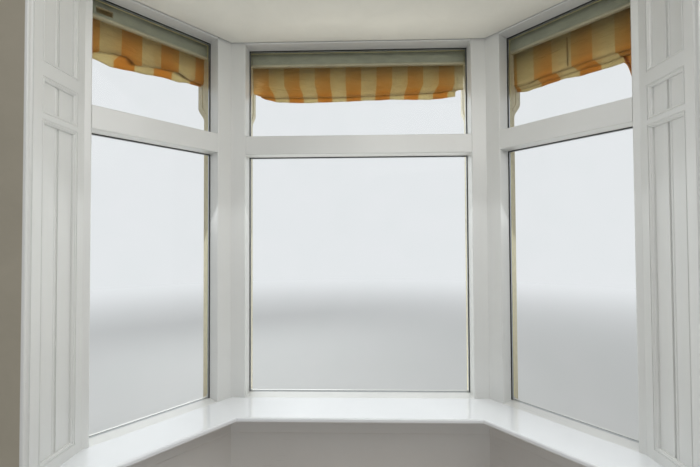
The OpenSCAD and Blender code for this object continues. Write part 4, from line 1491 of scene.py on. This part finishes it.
class BAY_OT_stage(bpy.types.Operator):
    """Make the pale floor, the soft lights and the camera"""

    bl_idname = "bay.stage"
    bl_label = "Set Stage"

    def execute(self, context):
        self.make_floor()
        self.make_world()
        self.make_lights()
        self.make_camera()
        return {"FINISHED"}

    def make_floor(self):
        """Pale floor that keeps the shadow and runs out into the background further away."""
        finish = Finish("studio_floor", 0.9)
        grain = finish.noise(3.0, 3.0)
        finish.wire(finish.mix(grain, (0.70, 0.70, 0.69), (0.73, 0.73, 0.72)), "Base Color")
        away = finish.node(
            "ShaderNodeVectorMath", {0: finish.place}, operation="LENGTH").outputs["Value"]
        far = finish.node("ShaderNodeMapRange", {
            "Value": away, "From Min": FLOOR_FADES[0], "From Max": FLOOR_FADES[1]},
            interpolation_type="SMOOTHSTEP").outputs["Result"]
        glow = finish.node("ShaderNodeEmission", {
            "Color": BACKGROUND, "Strength": BACKGROUND_STRENGTH})
        finish.blend(finish.math("MULTIPLY", far, finish.seen_directly()), glow)
        corners = ((-1, -1), (1, -1), (1, 1), (-1, 1))
        floor = object_from(
            "studio_floor", [(x * FLOOR_REACH, y * FLOOR_REACH, 0) for x, y in corners],
            [(0, 1, 2, 3)], finish.material)

    def make_world(self):
        """Even light, weaker on the room's side, and a plain pale background."""
        world = bpy.data.worlds.new("studio")
        bpy.context.scene.world = world
        world.use_nodes = True
        sky = Nodes(world.node_tree)
        around = sky.node("ShaderNodeTexCoord").outputs["Generated"]
        level = sky.spread(sky.part(around, "Y"), -0.5, 0.5, ROOM_LIGHT, STREET_LIGHT)
        ambient = sky.tree.nodes["Background"]
        ambient.inputs["Color"].default_value = (0.97, 0.985, 1.0, 1)
        sky.tree.links.new(level, ambient.inputs["Strength"])
        shown = sky.node("ShaderNodeBackground", {
            "Color": BACKGROUND, "Strength": BACKGROUND_STRENGTH})
        both = sky.node("ShaderNodeMixShader", {
            0: sky.seen_directly(), 1: ambient.outputs[0], 2: shown.outputs[0]})
        sky.tree.links.new(both.outputs[0], sky.tree.nodes["World Output"].inputs["Surface"])

    def make_lights(self):
        for lamp in SOFTBOXES:
            softbox(*lamp)
        for facet in FACETS:
            # Daylight that enters by each window, so that the room's side is lit from there
            middle = Vector(((facet.start + facet.end) / 2, PANE_IN - 0.015, (SILL_Z + HEAD_Z) / 2))
            into_room = middle + Vector((0, -1, -DAYLIGHT_FALL))
            size = (facet.end - facet.start - 0.02, HEAD_Z - SILL_Z - 0.02)
            lamp = softbox(
                facet.name + "_daylight", facet.matrix @ middle, facet.matrix @ into_room,
                size, DAYLIGHT[facet.name], (0.95, 0.98, 1.0))
            lamp.visible_glossy = False

    def make_camera(self):
        """Stands in the room at eye height."""
        data = bpy.data.cameras.new("camera")
        data.sensor_width = SENSOR
        data.lens = FOCAL_PIXELS / PHOTO_WIDE * SENSOR
        camera = bpy.data.objects.new("camera", data)
        bpy.context.scene.collection.objects.link(camera)
        camera.matrix_world = (
            Matrix.Translation((CAMERA_X, FRAME_Y - CAMERA_BACK, SILL_Z + CAMERA_ABOVE_SILL))
            @ Matrix.Rotation(YAW, 4, "Z") @ Matrix.Rotation(PITCH, 4, "X")
            @ Matrix.Rotation(ROLL, 4, "Z"))
        bpy.context.scene.camera = camera
        bpy.context.scene.view_settings.view_transform = "Standard"


OPERATORS = [
    BAY_OT_stage, BAY_OT_joinery, BAY_OT_plaster, BAY_OT_glazing, BAY_OT_brickwork,
    BAY_OT_outer_sills, BAY_OT_floor, BAY_OT_roofing, BAY_OT_awning_cloth,
]


class BAY_PT_panel(bpy.types.Panel):
    """Steps of the bay window's finishes"""

    bl_idname = "BAY_PT_panel"
    bl_label = "Bay Window"
    bl_space_type = "VIEW_3D"
    bl_region_type = "UI"
    bl_category = "Bay Window"

    def draw(self, context):
        for settings in (context.scene.bay_sizes, context.scene.bay_colours):
            box = self.layout.box()
            for name in settings.__annotations__:
                box.prop(settings, name)
        for operator in OPERATORS:
            self.layout.operator(operator.bl_idname)


CLASSES = [BayColours, BaySizes, *OPERATORS, BAY_PT_panel]


def register():
    for made in CLASSES:
        bpy.utils.register_class(made)
    bpy.types.Scene.bay_colours = PointerProperty(type=BayColours)
    bpy.types.Scene.bay_sizes = PointerProperty(type=BaySizes)


def unregister():
    del bpy.types.Scene.bay_sizes
    del bpy.types.Scene.bay_colours
    for made in reversed(CLASSES):
        bpy.utils.unregister_class(made)


def main():
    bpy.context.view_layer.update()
    register()
    for operator in OPERATORS:
        group, name = operator.bl_idname.split(".")
        getattr(getattr(bpy.ops, group), name)()


if __name__ == "__main__":
    main()
